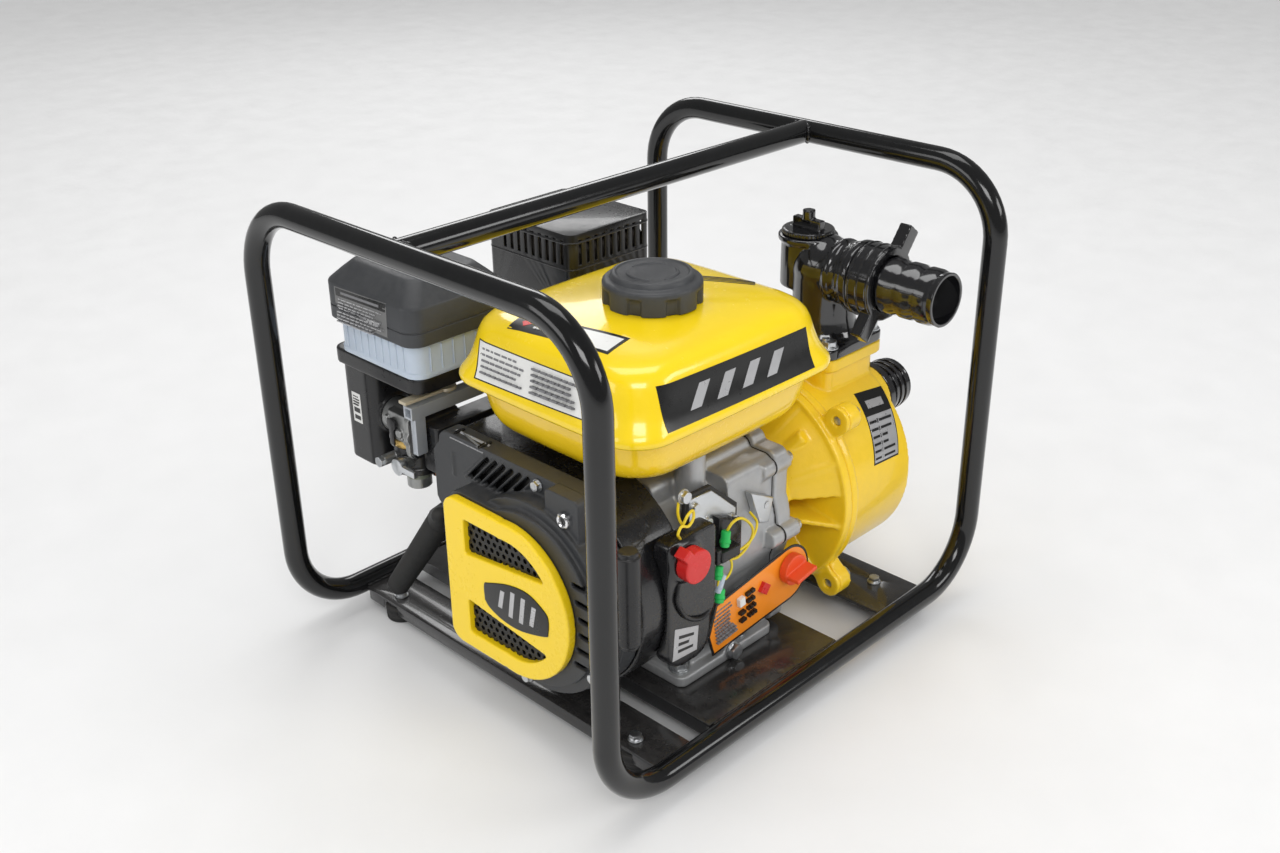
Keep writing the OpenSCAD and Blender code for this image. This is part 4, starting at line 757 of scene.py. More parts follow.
def ellipse(u, w, ru, rw, n=28):
    turns = [math.radians(360 * i / n) for i in range(n)]
    return [(u + ru * math.cos(a), w + rw * math.sin(a)) for a in turns]


# ---------------------------------------------------------------- fuel tank
def tank_ring(inset, z, radius, belly=2.2, n=22):
    """Plan outline of the tank at a height, moved in by inset, its sides a little convex."""
    lo, hi = span("fuel_tank")
    x0, x1, y0, y1 = lo.x + inset, hi.x - inset, lo.y + inset, hi.y - inset
    r = min(radius, (x1 - x0) / 2 - 1, (y1 - y0) / 2 - 1)
    cx, cy = (x0 + x1) / 2, (y0 + y1) / 2
    hx, hy = (x1 - x0) / 2, (y1 - y0) / 2
    pts = []
    for sx, sy, a0 in ((1, 1, 0), (-1, 1, 90), (-1, -1, 180), (1, -1, 270)):
        for i in range(n + 1):
            a = math.radians(a0 + 90 * i / n)
            pts.append((cx + sx * (hx - r) + r * math.cos(a), cy + sy * (hy - r) + r * math.sin(a)))
        # points along the straight side, for the belly
        nx, ny, a1 = ((-1, 1, 90), (-1, -1, 180), (1, -1, 270), (1, 1, 0))[(a0 // 90)]
        a1 = math.radians(a1)
        q = (cx + nx * (hx - r) + r * math.cos(a1), cy + ny * (hy - r) + r * math.sin(a1))
        p = pts[-1]
        for i in range(1, 12):
            pts.append((p[0] + (q[0] - p[0]) * i / 12, p[1] + (q[1] - p[1]) * i / 12))
    out = []
    for x, y in pts:
        u, w = (x - cx) / hx, (y - cy) / hy
        # pull the ends of each side in, so that its middle stands proud
        pull = belly * (u * u * w * w)
        out.append((x - pull * u, y - pull * w, z))
    return out


TANK_TOP_RINGS = [
    (4.0, 289.6, 34), (1.4, 290.0, 34), (0.3, 291.6, 34), (0.0, 294.0, 34), (0.6, 297.0, 34),
    (2.4, 300.2, 34), (4.8, 304.5, 34), (7.0, 310, 35), (8.9, 317, 36), (10.6, 325, 37), (12.2, 332.5, 38),
    (14.2, 338.2, 39), (17.4, 342.4, 40), (22.0, 345.4, 41), (28.5, 347.3, 42), (38.0, 348.9, 43),
    (52, 350.5, 44), (70, 351.8, 40), (86, 352.5, 24), (98, 352.6, 12),
]
TANK_PAN_RINGS = [
    (92, 240.2, 20), (66, 240.3, 36), (48, 240.7, 38), (37, 242.0, 38), (30.0, 244.6, 38),
    (25.0, 248.4, 37), (21.2, 253.4, 36), (18.6, 259, 36), (16.8, 266, 35), (15.4, 274, 35),
    (14.2, 282, 34), (13.2, 288.4, 34), (12.6, 290.6, 34),
]


def tank_height(x, y, z):
    """A low round rise about the filler, and the soft crease it leaves in the top."""
    d = (middle("fuel_cap").xy - Vector((x, y))).length
    t = min(max((d - 47) / 20, 0), 1)
    return 1.8 * (1 - t * t * (3 - 2 * t)) if z > 346 else 0


def build_tank():
    bm = bmesh.new()
    outlines = [tank_ring(*step) for step in TANK_TOP_RINGS]
    rings = [[v(x, y, z + tank_height(x, y, z)) for x, y, z in outline] for outline in outlines]
    inner = [[v(*p) for p in tank_ring(i, z, r)] for i, z, r in ((12.4, 289.9, 34), (6, 289.5, 34))]
    loft(bm, inner + rings)
    (cx, cy, _), top = middle("fuel_cap"), 352.4
    neck = [(28.5, -4), (34, -2), (33, 2.2), (31.6, 3.8), (31, 6.5), (29.5, 7.6), (28.5, 7.2)]
    lathe(bm, (cx, cy, top), Z, neck, 64)
    place("tank_upper_shell", bm, "fuel_tank", "tank", "fuel_tank", angle=50)
    # lower pan, in the darker copy of the tank's yellow that paints in the shade below the seam
    bm = bmesh.new()
    loft(bm, [[v(*p) for p in tank_ring(i, z, r)] for i, z, r in TANK_PAN_RINGS])
    place("tank_lower_pan", bm, "fuel_tank", "tank_pan_shade", angle=50)
    tree = tree_of(bpy.data.objects["tank_upper_shell"])
    lean = [("ink", (0, 0, 1, 1))]
    for u in (0.16, 0.33, 0.50, 0.67):
        lean.append(("silver", [(u, 0.24), (u + 0.07, 0.24), (u + 0.15, 0.76), (u + 0.08, 0.76)]))
    corners = ((-139, -173, 299.5), (39, -173, 297.5), (39, -162, 331), (-138, -162, 334))
    decal("side_panel", "fuel_tank", tree, corners, Y, lean, lift=0.25)
    card = [("ink", (0, 0, 1, 1)), ("paper", (0.012, 0.03, 0.988, 0.97))]
    for u0, u1 in ((0.05, 0.46), (0.54, 0.95)):
        card += print_lines("print", u0, u1, 0.12, 0.88, 5, 0.34, 9)
    corners = ((-172, 18, 299), (-172, -112, 302), (-163, -106, 331), (-163, 22, 330))
    decal("end_card", "fuel_tank", tree, corners, X, card, lift=0.25)
    top = [("ink", (0, 0, 1, 1)), ("paper", (0.5, 0.12, 0.97, 0.88))]
    top.append(("red", ellipse(0.12, 0.5, 0.05, 0.24, n=4)))
    top += print_lines("paper", 0.22, 0.46, 0.2, 0.8, 3, 0.4, 6)
    corners = ((-154, -6, 350), (-142, -110, 350), (-112, -105, 350), (-131, -2, 350))
    decal("top_card", "fuel_tank", tree, corners, -Z, top, lift=0.25)
    corners = ((12, -50, 350), (50, -96, 350), (62, -86, 350), (24, -40, 350))
    bars = [("ink", (0.0, w, 1.0, w + 0.12)) for w in (0.05, 0.31, 0.57, 0.83)]
    decal("top_strip", "fuel_tank", tree, corners, -Z, bars, lift=0.25)
    # cap: a scalloped skirt under a stepped disc
    bm = bmesh.new()
    grips, n = 8, 160
    lo, hi = span("fuel_cap")
    z0, z1 = lo.z + 2, hi.z

    def cap_ring(r, z, notch):
        ring = []
        for i in range(n):
            a = 2 * math.pi * i / n
            w = abs(((a * grips / (2 * math.pi)) % 1) - 0.5) * 2
            dip = notch * min(max((0.42 - w) / 0.14, 0), 1)
            ring.append(v(cx + (r - dip) * math.cos(a), cy + (r - dip) * math.sin(a), z))
        return ring

    skirt = ((38.5, z0 + 0.5, 0), (41.2, z0, 3.4), (42, z0 + 0.9, 3.6), (42, z0 + 8, 3.6),
             (42, z0 + 11.0, 3.4), (42, z0 + 13.0, 2.4), (42, z0 + 14.4, 0.8), (42, z0 + 15.2, 0),
             (42, z1 - 8.6, 0), (41.6, z1 - 7.2, 0), (40.4, z1 - 6.0, 0), (38.6, z1 - 5.4, 0),
             (36.4, z1 - 5.1, 0), (35.4, z1 - 4.4, 0), (34.6, z1 - 1.6, 0), (33.8, z1 - 0.5, 0),
             (32.4, z1, 0), (31.0, z1 - 0.1, 0), (30.2, z1 - 0.9, 0), (29.0, z1 - 1.3, 0),
             (10, z1 - 1.3, 0), (2, z1 - 1.3, 0))
    loft(bm, [cap_ring(*step) for step in skirt])
    lathe(bm, (cx, cy, 0), Z, [(27.9, 352), (27.9, 364), (20, 366)], 48)
    for k in range(3):
        line = arc((cx, cy, z1 - 1.3), (1, 0, 0), (0, 1, 0), 21, 120 * k + 12, 120 * k + 96, 14)
        sweep(bm, line, [0.8 + 0.9 * math.sin(math.pi * i / 14) for i in range(15)], 8)
    place("fuel_cap_moulded", bm, "fuel_cap", "cap", "fuel_cap")


build_tank()


# ---------------------------------------------------------------- fasteners
bolts("engine_mount_bolts_shaped", "engine_mount_bolts", lambda p: (0, 0, 1))
bolts("housing_bolts_shaped", "housing_bolts", lambda p: (1, 0, 0) if p.x > 0 else (-1, 0, 0))
bolts("casing_bolts_shaped", "casing_bolts", lambda p: (0, 0, 1) if p.z > 250 else (1, 0, 0))
bolts("oil_drain_bolt_shaped", "oil_drain_bolt", lambda p: (0, -1, 0))


# ---------------------------------------------------------------- recoil starter
def build_recoil():
    ring_front = span("grille_ring")[0].x
    base, top = -178.0, 236.0  # of the housing's face, and the height of its top

    def ridges(bm):
        # raised bars between the slanting slots
        for i in range(7):
            y, z = 17.1 - 10.2 * i, 219.0
            c, w, s = math.sqrt(0.5), 1.3, 20.5
            pts = [(y - s * c - w * c, z + s * c - w * c), (y - s * c + w * c, z + s * c + w * c),
                   (y + s * c + w * c, z - s * c + w * c), (y + s * c - w * c, z - s * c - w * c)]
            slab(bm, list(reversed(pts)), "x", base + 1, base - 1.8, 0.4)
        rod(bm, (base, 46.5, 200), (base, 46.5, 222), 1.6, 0.6, 12)
        # rim step that runs round the drum
        step = [(84, 0), (86.5, 0.5), (86.8, 2), (85.5, 4.6), (84, 4.8)]
        lathe(bm, (base - 8, CRANK_Y, CRANK_Z), -X, step, 96)

    housing = cast("recoil_housing_moulded", "recoil_housing", "charcoal", voxel=1.0, passes=3, ratio=0.35,
                   extra=ridges)
    cast("grille_ring_moulded", "grille_ring", "grille", voxel=0.9, passes=16, ratio=0.35)
    # perforated sheet behind the grille: hexagonal cells with round holes
    bm = bmesh.new()
    tree = tree_of(frame["nodes"]["grille_mesh"])
    mlo, mhi = span("grille_mesh")
    pitch, wall, row_step = 7.6, 1.35, 0.866
    rows = int((mhi.z - mlo.z) / (pitch * row_step)) + 2
    cols = int((mhi.y - mlo.y) / pitch) + 2
    for r in range(rows):
        for c in range(cols):
            y = mlo.y + pitch * (c + 0.5 * (r % 2))
            z = mlo.z + pitch * row_step * r
            near = tree.find_nearest(v((mlo.x + mhi.x) / 2, y, z))[0]
            if (near - v(near.x / MM, y, z)).length > 3.4 * MM:
                continue
            rings = []
            for x in (mlo.x + 0.2, mhi.x - 0.2):
                for rad in (pitch / 2 / row_step, pitch / 2 - wall):
                    corners = [math.radians(60 * i) for i in range(6)]
                    rings.append([v(x, y + rad * math.sin(a), z + rad * math.cos(a)) for a in corners])
            made = [[bm.verts.new(p) for p in ring] for ring in rings]
            for i in range(6):
                j = (i + 1) % 6
                for a, b in ((0, 1), (1, 3), (3, 2), (2, 0)):
                    bm.faces.new((made[a][i], made[a][j], made[b][j], made[b][i]))
    bmesh.ops.remove_doubles(bm, verts=bm.verts, dist=2e-6)
    place("grille_mesh_woven", bm, "grille_mesh", "mesh", "grille_mesh", angle=20)
    # badge: a dark leaf with plain slanting bars, on the grille's middle bar
    z0 = middle("grille_ring").z - 6
    leaf = [(-24, z0 - 6), (-31, z0 - 12), (-48, z0 - 17), (-70, z0 - 17), (-99, z0 - 9), (-103, z0 - 4),
            (-104, z0 + 9), (-99, z0 + 16), (-80, z0 + 24), (-56, z0 + 22), (-30, z0 + 13), (-24, z0 + 9)]
    leaf = [tuple(p.yz / MM) for p in spline([(0, *q) for q in leaf + leaf[:1]], 5)][:-1]
    bm = bmesh.new()
    slab(bm, list(reversed(leaf)), "x", ring_front + 0.5, ring_front - 0.9, 0.5)
    place("badge_plate", bm, "grille_ring", "ink")
    bm = bmesh.new()
    for i, (y, tall) in enumerate(((-44, 9), (-57, 13), (-70, 13), (-83, 10))):
        bar = [(y + 2.6, z0 + 4 - tall), (y - 2.6, z0 + 4 - tall), (y - 7, z0 + 4 + tall),
               (y - 1.8, z0 + 4 + tall)]
        slab(bm, list(reversed(bar)), "x", ring_front - 0.6, ring_front - 1.1, 0.2)
    place("badge_bars", bm, "grille_ring", "silver")
    # chrome eyelets
    bm = bmesh.new()
    boxes = sorted(islands("rope_eyelets"), key=lambda b: b[0].y)
    (blo, bhi), (clo, chi) = boxes
    by = ((blo.x + bhi.x) / 2, blo.y, (blo.z + bhi.z) / 2)
    lip = [(3.4, 16), (3.4, 1.5), (3.8, 0.3), (4.9, -0.3), (6.2, 0.4), (6.5, 1.6), (6.0, 2.4), (5.6, 3),
           (5.6, 16)]
    lathe(bm, by, Y, lip, 40, caps=False)
    cy, cz = (clo.y + chi.y) / 2, (clo.z + chi.z) / 2
    lip = [(3.3, -8), (3.3, 0.8), (3.8, 2.2), (5.2, 3.0), (6.6, 2.2), (7.1, 0.8), (7.1, -3)]
    lathe(bm, (clo.x + 0.6, cy, cz), -X, lip, 48, caps=False)
    place("rope_eyelets_turned", bm, "rope_eyelets", "chrome", "rope_eyelets")
    turned("eyelet_shadow", "rope_eyelets", "ink", (clo.x + 0.6, cy, cz), -X, [(3.25, 0.2), (3.25, 0.5)], 32)
    # a flat black sheet just inside the housing's face, behind the slots, is painted shade: it stands in for
    # the shade inside the housing
    bm = bmesh.new()
    slab(bm, [(-72, 196), (44, 196), (44, 236), (-72, 236)], "x", base + 7, base + 6, 0.3)
    place("slot_painted_shade_sheet", bm, "recoil_housing", "ink")
    # painted strap at the top corner, with two dark screws
    tree = tree_of(housing)
    y1, y0, zl, zh = 49.0, 5.0, top + 1.0, top + 11.5
    corners = ((-180, y1, zl), (-180, y0, zl), (-170, y0, zh), (-170, y1, zh))
    marks = [("silver", (0, 0, 1, 1)), ("ink", ellipse(0.09, 0.5, 0.045, 0.2))]
    marks += [("ink", ellipse(0.9, 0.45, 0.06, 0.25)), ("grey", [(0.2, 0.9), (0.85, 0.2), (0.87, 0.3),
              (0.26, 0.92)])]
    decal("starter_strap", "recoil_housing", tree, corners, (1, 0, -0.5), marks, lift=1.0)
    cast("starter_grip_moulded", "starter_grip", "black", voxel=0.8, passes=3, ratio=0.6)
    # rope: a straight cord from the housing's rim to the grip, not attached to any body
    (rx, _, rz), rings = middle("starter_grip"), 64
    y0 = span("starter_grip")[1].y - 1
    y1 = y0 - 21
    bm = bmesh.new()
    line = [v(rx, y0 + (y1 - y0) * i / rings, rz) for i in range(rings + 1)]
    sweep(bm, line, [2.6 + 0.12 * math.sin(i * 1.9) for i in range(rings + 1)], 12)
    rope = place("starter_rope", bm, "starter_grip", "rope", ride=False)
    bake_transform(rope)


build_recoil()


# ---------------------------------------------------------------- blower, switch box, wiring, tag
def build_side():
    cast("blower_formed", "blower_housing", "blower", voxel=1.1, passes=6, ratio=0.25)
    cast("switch_box_moulded", "switch_body", "blower", voxel=1.4, passes=24, ratio=0.3)
    cast("switch_knob_moulded", "switch_knob", "red", voxel=0.7, passes=9, ratio=0.5)
    klo, khi = span("switch_knob")
    crown_at = (khi.x - 15, klo.y + 1.2, span("switch_body")[1].z - 21)
    turned("knob_crown", "switch_knob", "red", crown_at, -Y, [(6, -0.5), (5, 0.4), (2, 0.8)], 32)
    # silver sticker low on the box
    tree = tree_of(bpy.data.objects["switch_box_moulded"])
    y = span("switch_body")[0].y
    corners = ((-132, y, 84), (-101, y, 82), (-99, y, 106), (-129, y, 116))
    marks = [("silver", (0.02, 0.02, 0.98, 0.98))]
    marks += [("ink", (0.2, w, right, w + 0.1)) for w, right in ((0.22, 0.8), (0.44, 0.62), (0.66, 0.8))]
    decal("box_sticker", "switch_body", tree, corners, Y, marks, lift=0.35)
    # oil card: orange with a dark rim, rows of dashes and a plain red diamond
    outer = face_loops("tag_plate", "y", -1)[0]
    tlo, thi = span("tag_plate")
    bm = bmesh.new()
    slab(bm, outer, "y", thi.y, tlo.y + 0.3, 0.2)
    place("oil_card_rim", bm, "tag_plate", "ink", "tag_plate")
    bm = bmesh.new()
    slab(bm, grow(outer, -2.4), "y", tlo.y + 0.5, tlo.y, 0.1)
    card = place("oil_card_face", bm, "tag_plate", "tag")
    tree = tree_of(card)
    a = Vector((tlo.x + 8, tlo.y, (tlo.z + thi.z) / 2 - 32))
    tilt = math.radians(8)
    along, up = Vector((math.cos(tilt), 0, math.sin(tilt))), Vector((-math.sin(tilt), 0, math.cos(tilt)))
    quad = [a, a + along * 100, a + along * 100 + up * 52, a + up * 52]
    marks = print_lines("print", 0.04, 0.30, 0.16, 0.84, 9, 0.4, 9)
    marks += print_lines("ink", 0.46, 0.60, 0.2, 0.8, 4, 0.4, 4)
    marks += [("red", ellipse(0.70, 0.58, 0.07, 0.135, n=4)), ("paper", (0.35, 0.60, 0.42, 0.76)),
              ("ink", (0.35, 0.26, 0.42, 0.31)), ("ink", (0.35, 0.42, 0.42, 0.47))]
    decal("oil_card", "tag_plate", tree, quad, (0, 1, 0), marks, lift=0.12)
    cast("dipstick_moulded", "dipstick", "orange_red", voxel=0.6, passes=3, ratio=0.6)
    # wires, connectors and their clip
    bm = bmesh.new()
    lead = [(-104, -149, 217), (-110, -154, 212), (-117, -163, 211), (-121, -170, 213), (-119, -173, 221),
            (-112, -172, 222), (-110, -171, 214), (-116, -171, 209), (-124, -171, 212), (-127, -170, 206),
            (-123, -167, 201), (-119, -165, 196)]
    sweep(bm, spline(lead, 8), 1.25, 10)
    loop = [(-50, -154, 168), (-46, -157, 177), (-36, -158, 178), (-24, -158, 168), (-18, -157, 156),
            (-24, -156, 144), (-36, -156, 139), (-46, -156, 141)]
    sweep(bm, spline(loop, 8), 1.3, 10)
    tail = [(-6, -143, 166), (-8, -153, 160), (-18, -157, 151), (-34, -158, 147), (-45, -157, 150),
            (-52, -156, 147)]
    sweep(bm, spline(tail, 8), 1.2, 10)
    sweep(bm, spline([(-56, -156, 148), (-48, -158, 142), (-47, -158, 132), (-54, -158, 126),
                      (-60, -156, 128), (-61, -155, 118)], 8), 1.1, 10)
    place("wire_leads", bm, "wiring", "yellow_wire", "wiring")
    bm = bmesh.new()
    for x, z0, z1, r in ((-52, 157, 171, 4.2), (-60, 128, 140, 3.6), (-58, 104, 116, 4.2)):
        rod(bm, (x - 2, -156, z0), (x + 1, -155, z1), r, 1.0, 20)
        rod(bm, (x - 1.6, -156, z0 + 3), (x, -155, z0 + 6), r + 0.7, 0.5, 20)
    place("wire_connectors", bm, "wiring", "green")
    bm = bmesh.new()
    rod(bm, (-61, -155, 114), (-55, -156, 130), 3.2, 0.8, 20)
    place("wire_sleeve", bm, "wiring", "milky")
    bm = bmesh.new()
    box_at(bm, (-62, -38), (-161, -149), (145, 155), 2, 1)
    box_at(bm, (-66, -60), (-159, -150), (144, 158), 1.5, 1)
    sweep(bm, spline([(-124, -168, 158), (-127, -170, 142), (-116, -170, 122), (-96, -169, 112),
                      (-80, -165, 116), (-72, -156, 124)], 8), 2.0, 12)
    place("wire_clip_and_cable", bm, "wiring", "black")


build_side()


# ---------------------------------------------------------------- engine
def build_engine():
    def case_extras(bm):
        for z in (58, 74, 90, 106):
            box_at(bm, (-20, 24), (-139.5, -134), (z, z + 2.5), 1, 0.8)

    cast("crankcase_cast", "crankcase", "cast", voxel=1.5, passes=4, ratio=0.4, extra=case_extras)

    def cover_extras(bm):
        hi = span("crankcase_cover")[1].x
        for y, z, r in ((-118, 160, 9), (-120, 118, 8)):
            rod(bm, (hi - 12, y, z), (hi - 1, y, z), r, 1.4, 28)
        # ribs from the bearing boss out to the rim
        for a in range(0, 360, 45):
            c, s = math.cos(math.radians(a)), math.sin(math.radians(a))
            rib = ((34, -1.6), (66, -1.6), (66, 1.6), (34, 1.6))
            pts = [Vector((CRANK_Y, CRANK_Z)) + Vector((c * t - s * w, s * t + c * w)) for t, w in rib]
            if all(-150 < p.x < 12 and 45 < p.y < 210 for p in pts):
                slab(bm, [tuple(p) for p in pts], "x", hi - 3, hi - 0.4, 0.8)

    cast("crankcase_cover_cast", "crankcase_cover", "cast", voxel=1.3, passes=4, ratio=0.4,
         extra=cover_extras)
    # plated governor plate on its gasket, its lever box, and a small bracket beside them
    for name, mat, outline, y0, y1, edge in (
        ("governor_gasket", "gasket", [(-86, 211), (-87, 186), (-56, 166), (-20, 156), (-20, 180),
                                       (-54, 210)], -136, -140.0, 0.3),
        ("governor_plate", "zinc", [(-83, 208), (-84, 188), (-55, 170), (-24, 160), (-24, 178), (-56, 207)],
         -139, -142.4, 0.9),
        ("bracket_plate", "zinc", [(-8, 186), (4, 152), (17, 147), (23, 170)], -138, -146.0, 1.2),
        ("lever_box", "black", [(-54, 182), (-54, 150), (-24, 140), (-24, 170)], -138, -150.0, 2.0),
    ):
        bm = bmesh.new()
        slab(bm, outline if turn_of(outline) > 0 else outline[::-1], "y", y0, y1, edge)
        place(name, bm, "crankcase", mat)
    bm = bmesh.new()
    for x, z in ((-78, 200), (-62, 180), (-30, 170), (14, 166)):
        screw_head(bm, (x, -142, z), (0, -1, 0), 4.5)
    screw_head(bm, (-100, -150, 222), (0, -1, 0), 6)
    place("governor_screws", bm, "crankcase", "zinc")
    # gasket line between the case and its cover
    bm = bmesh.new()
    outline, end = face_loops("crankcase", "x", 1)[0], span("crankcase")[1].x
    seal = ((end - 0.5, 0.25), (end + 0.5, 0.25), (end + 0.5, -2.5), (end - 0.5, -2.5))
    loft(bm, [[v(x, *p) for p in grow(outline, g)] for x, g in seal], caps=False, closed=True)
    place("cover_gasket", bm, "crankcase", "gasket", angle=30)
    crisp("cylinder_head_cast", "cylinder_head", "cast", width=0.9)
    cast("rocker_cover_pressed", "rocker_cover", "cast", voxel=1.2, passes=6, ratio=0.4)
    cast("plug_cap_moulded", "plug_cap", "rubber", voxel=0.9, passes=5, ratio=0.4)
    cast("intake_manifold_cast", "intake_manifold", "black", voxel=1.0, passes=4, ratio=0.4)
    # the plug boot's clip
    bm = bmesh.new()
    plo, phi = span("plug_cap")
    a = Vector(((plo.x + phi.x) / 2 + 10, plo.y + 8, phi.z - 28))
    sweep(bm, spline([a + Vector(q) for q in ((-8, -2, 0), (0, -4, 1), (7, -1, 2), (9, 4, 2))], 6), 0.9, 10)
    place("plug_cap_clip", bm, "plug_cap", "zinc")


def build_fuel_side():
    cx, cy, cz = -155.0, 130.0, 216.0  # middle of the barrel

    def body(bm):
        for s in (-1, 1):
            lathe(bm, (cx + s * 22, cy - 27, cz), Y, [(4, 0), (7.5, 0.5), (7.5, 6)], 20)
        rod(bm, (cx - 22.5, cy - 3, cz - 4), (cx - 16, cy - 3, cz - 4), 4.2, 0.6, 20)
        rod(bm, (cx - 21.5, cy + 16, cz + 6), (cx - 16, cy + 16, cz + 6), 3.0, 0.6, 20)
        box_at(bm, (cx - 20.5, cx - 16), (cy - 14, cy + 14), (cz - 14, cz - 9), 1, 0.6)

    cast("carburettor_cast", "carburettor", "carb", voxel=0.7, passes=2, ratio=0.35, extra=body)
    # pressed bowl, cup, bands and fittings over the casting
    for name, mat, dx, dy, n, profile in (
        ("float_bowl", "guard", 0, 0, 64, [(20, 197.2), (21.2, 197.2), (21.5, 196.0), (21.5, 181.5),
                                           (21.8, 178.5), (22.6, 177.2), (23.5, 176.4), (23.5, 172.6),
                                           (22.8, 171.7), (12, 171.6)]),
        ("bowl_band", "brass", 0, 0, 64, [(20, 198.0), (21.7, 198.0), (22.2, 199.2), (22.2, 203.6),
                                          (21.7, 204.6), (20, 204.6)]),
        ("sediment_cup", "cup", -2, -2, 48, [(10.5, 172.5), (12.2, 172.2), (12.2, 168.5), (11.6, 167.6),
                                             (11.6, 164), (9.8, 156), (8.4, 153.2), (7.6, 152.4),
                                             (4, 152.2)]),
        ("drain_fitting", "copper", 13, -11, 24, [(3, 172.4), (5.4, 172.2), (5.4, 169), (4.2, 168.4),
         (4.2, 165), (5.2, 164.5), (5.2, 161.4), (3, 161)]),
    ):
        turned(name, "carburettor", mat, (cx + dx, cy + dy, 0), Z, profile, n)
    bm = bmesh.new()
    hexagon(bm, (cx - 34, cy + 8, 186), (-1, 0, 0), 9.5, 4.5, 0.6)
    place("fuel_stub_nut", bm, "carburettor", "zinc")
    crisp("throttle_bar", "control_bracket", "satin", width=0.7)
    crisp("choke_lever_moulded", "choke_lever", "black", width=0.5)
    crisp("fuel_lever_moulded", "fuel_lever", "zinc", width=0.5)
    crisp("throttle_lever_moulded", "throttle_lever", "lever", width=0.7, segments=3)


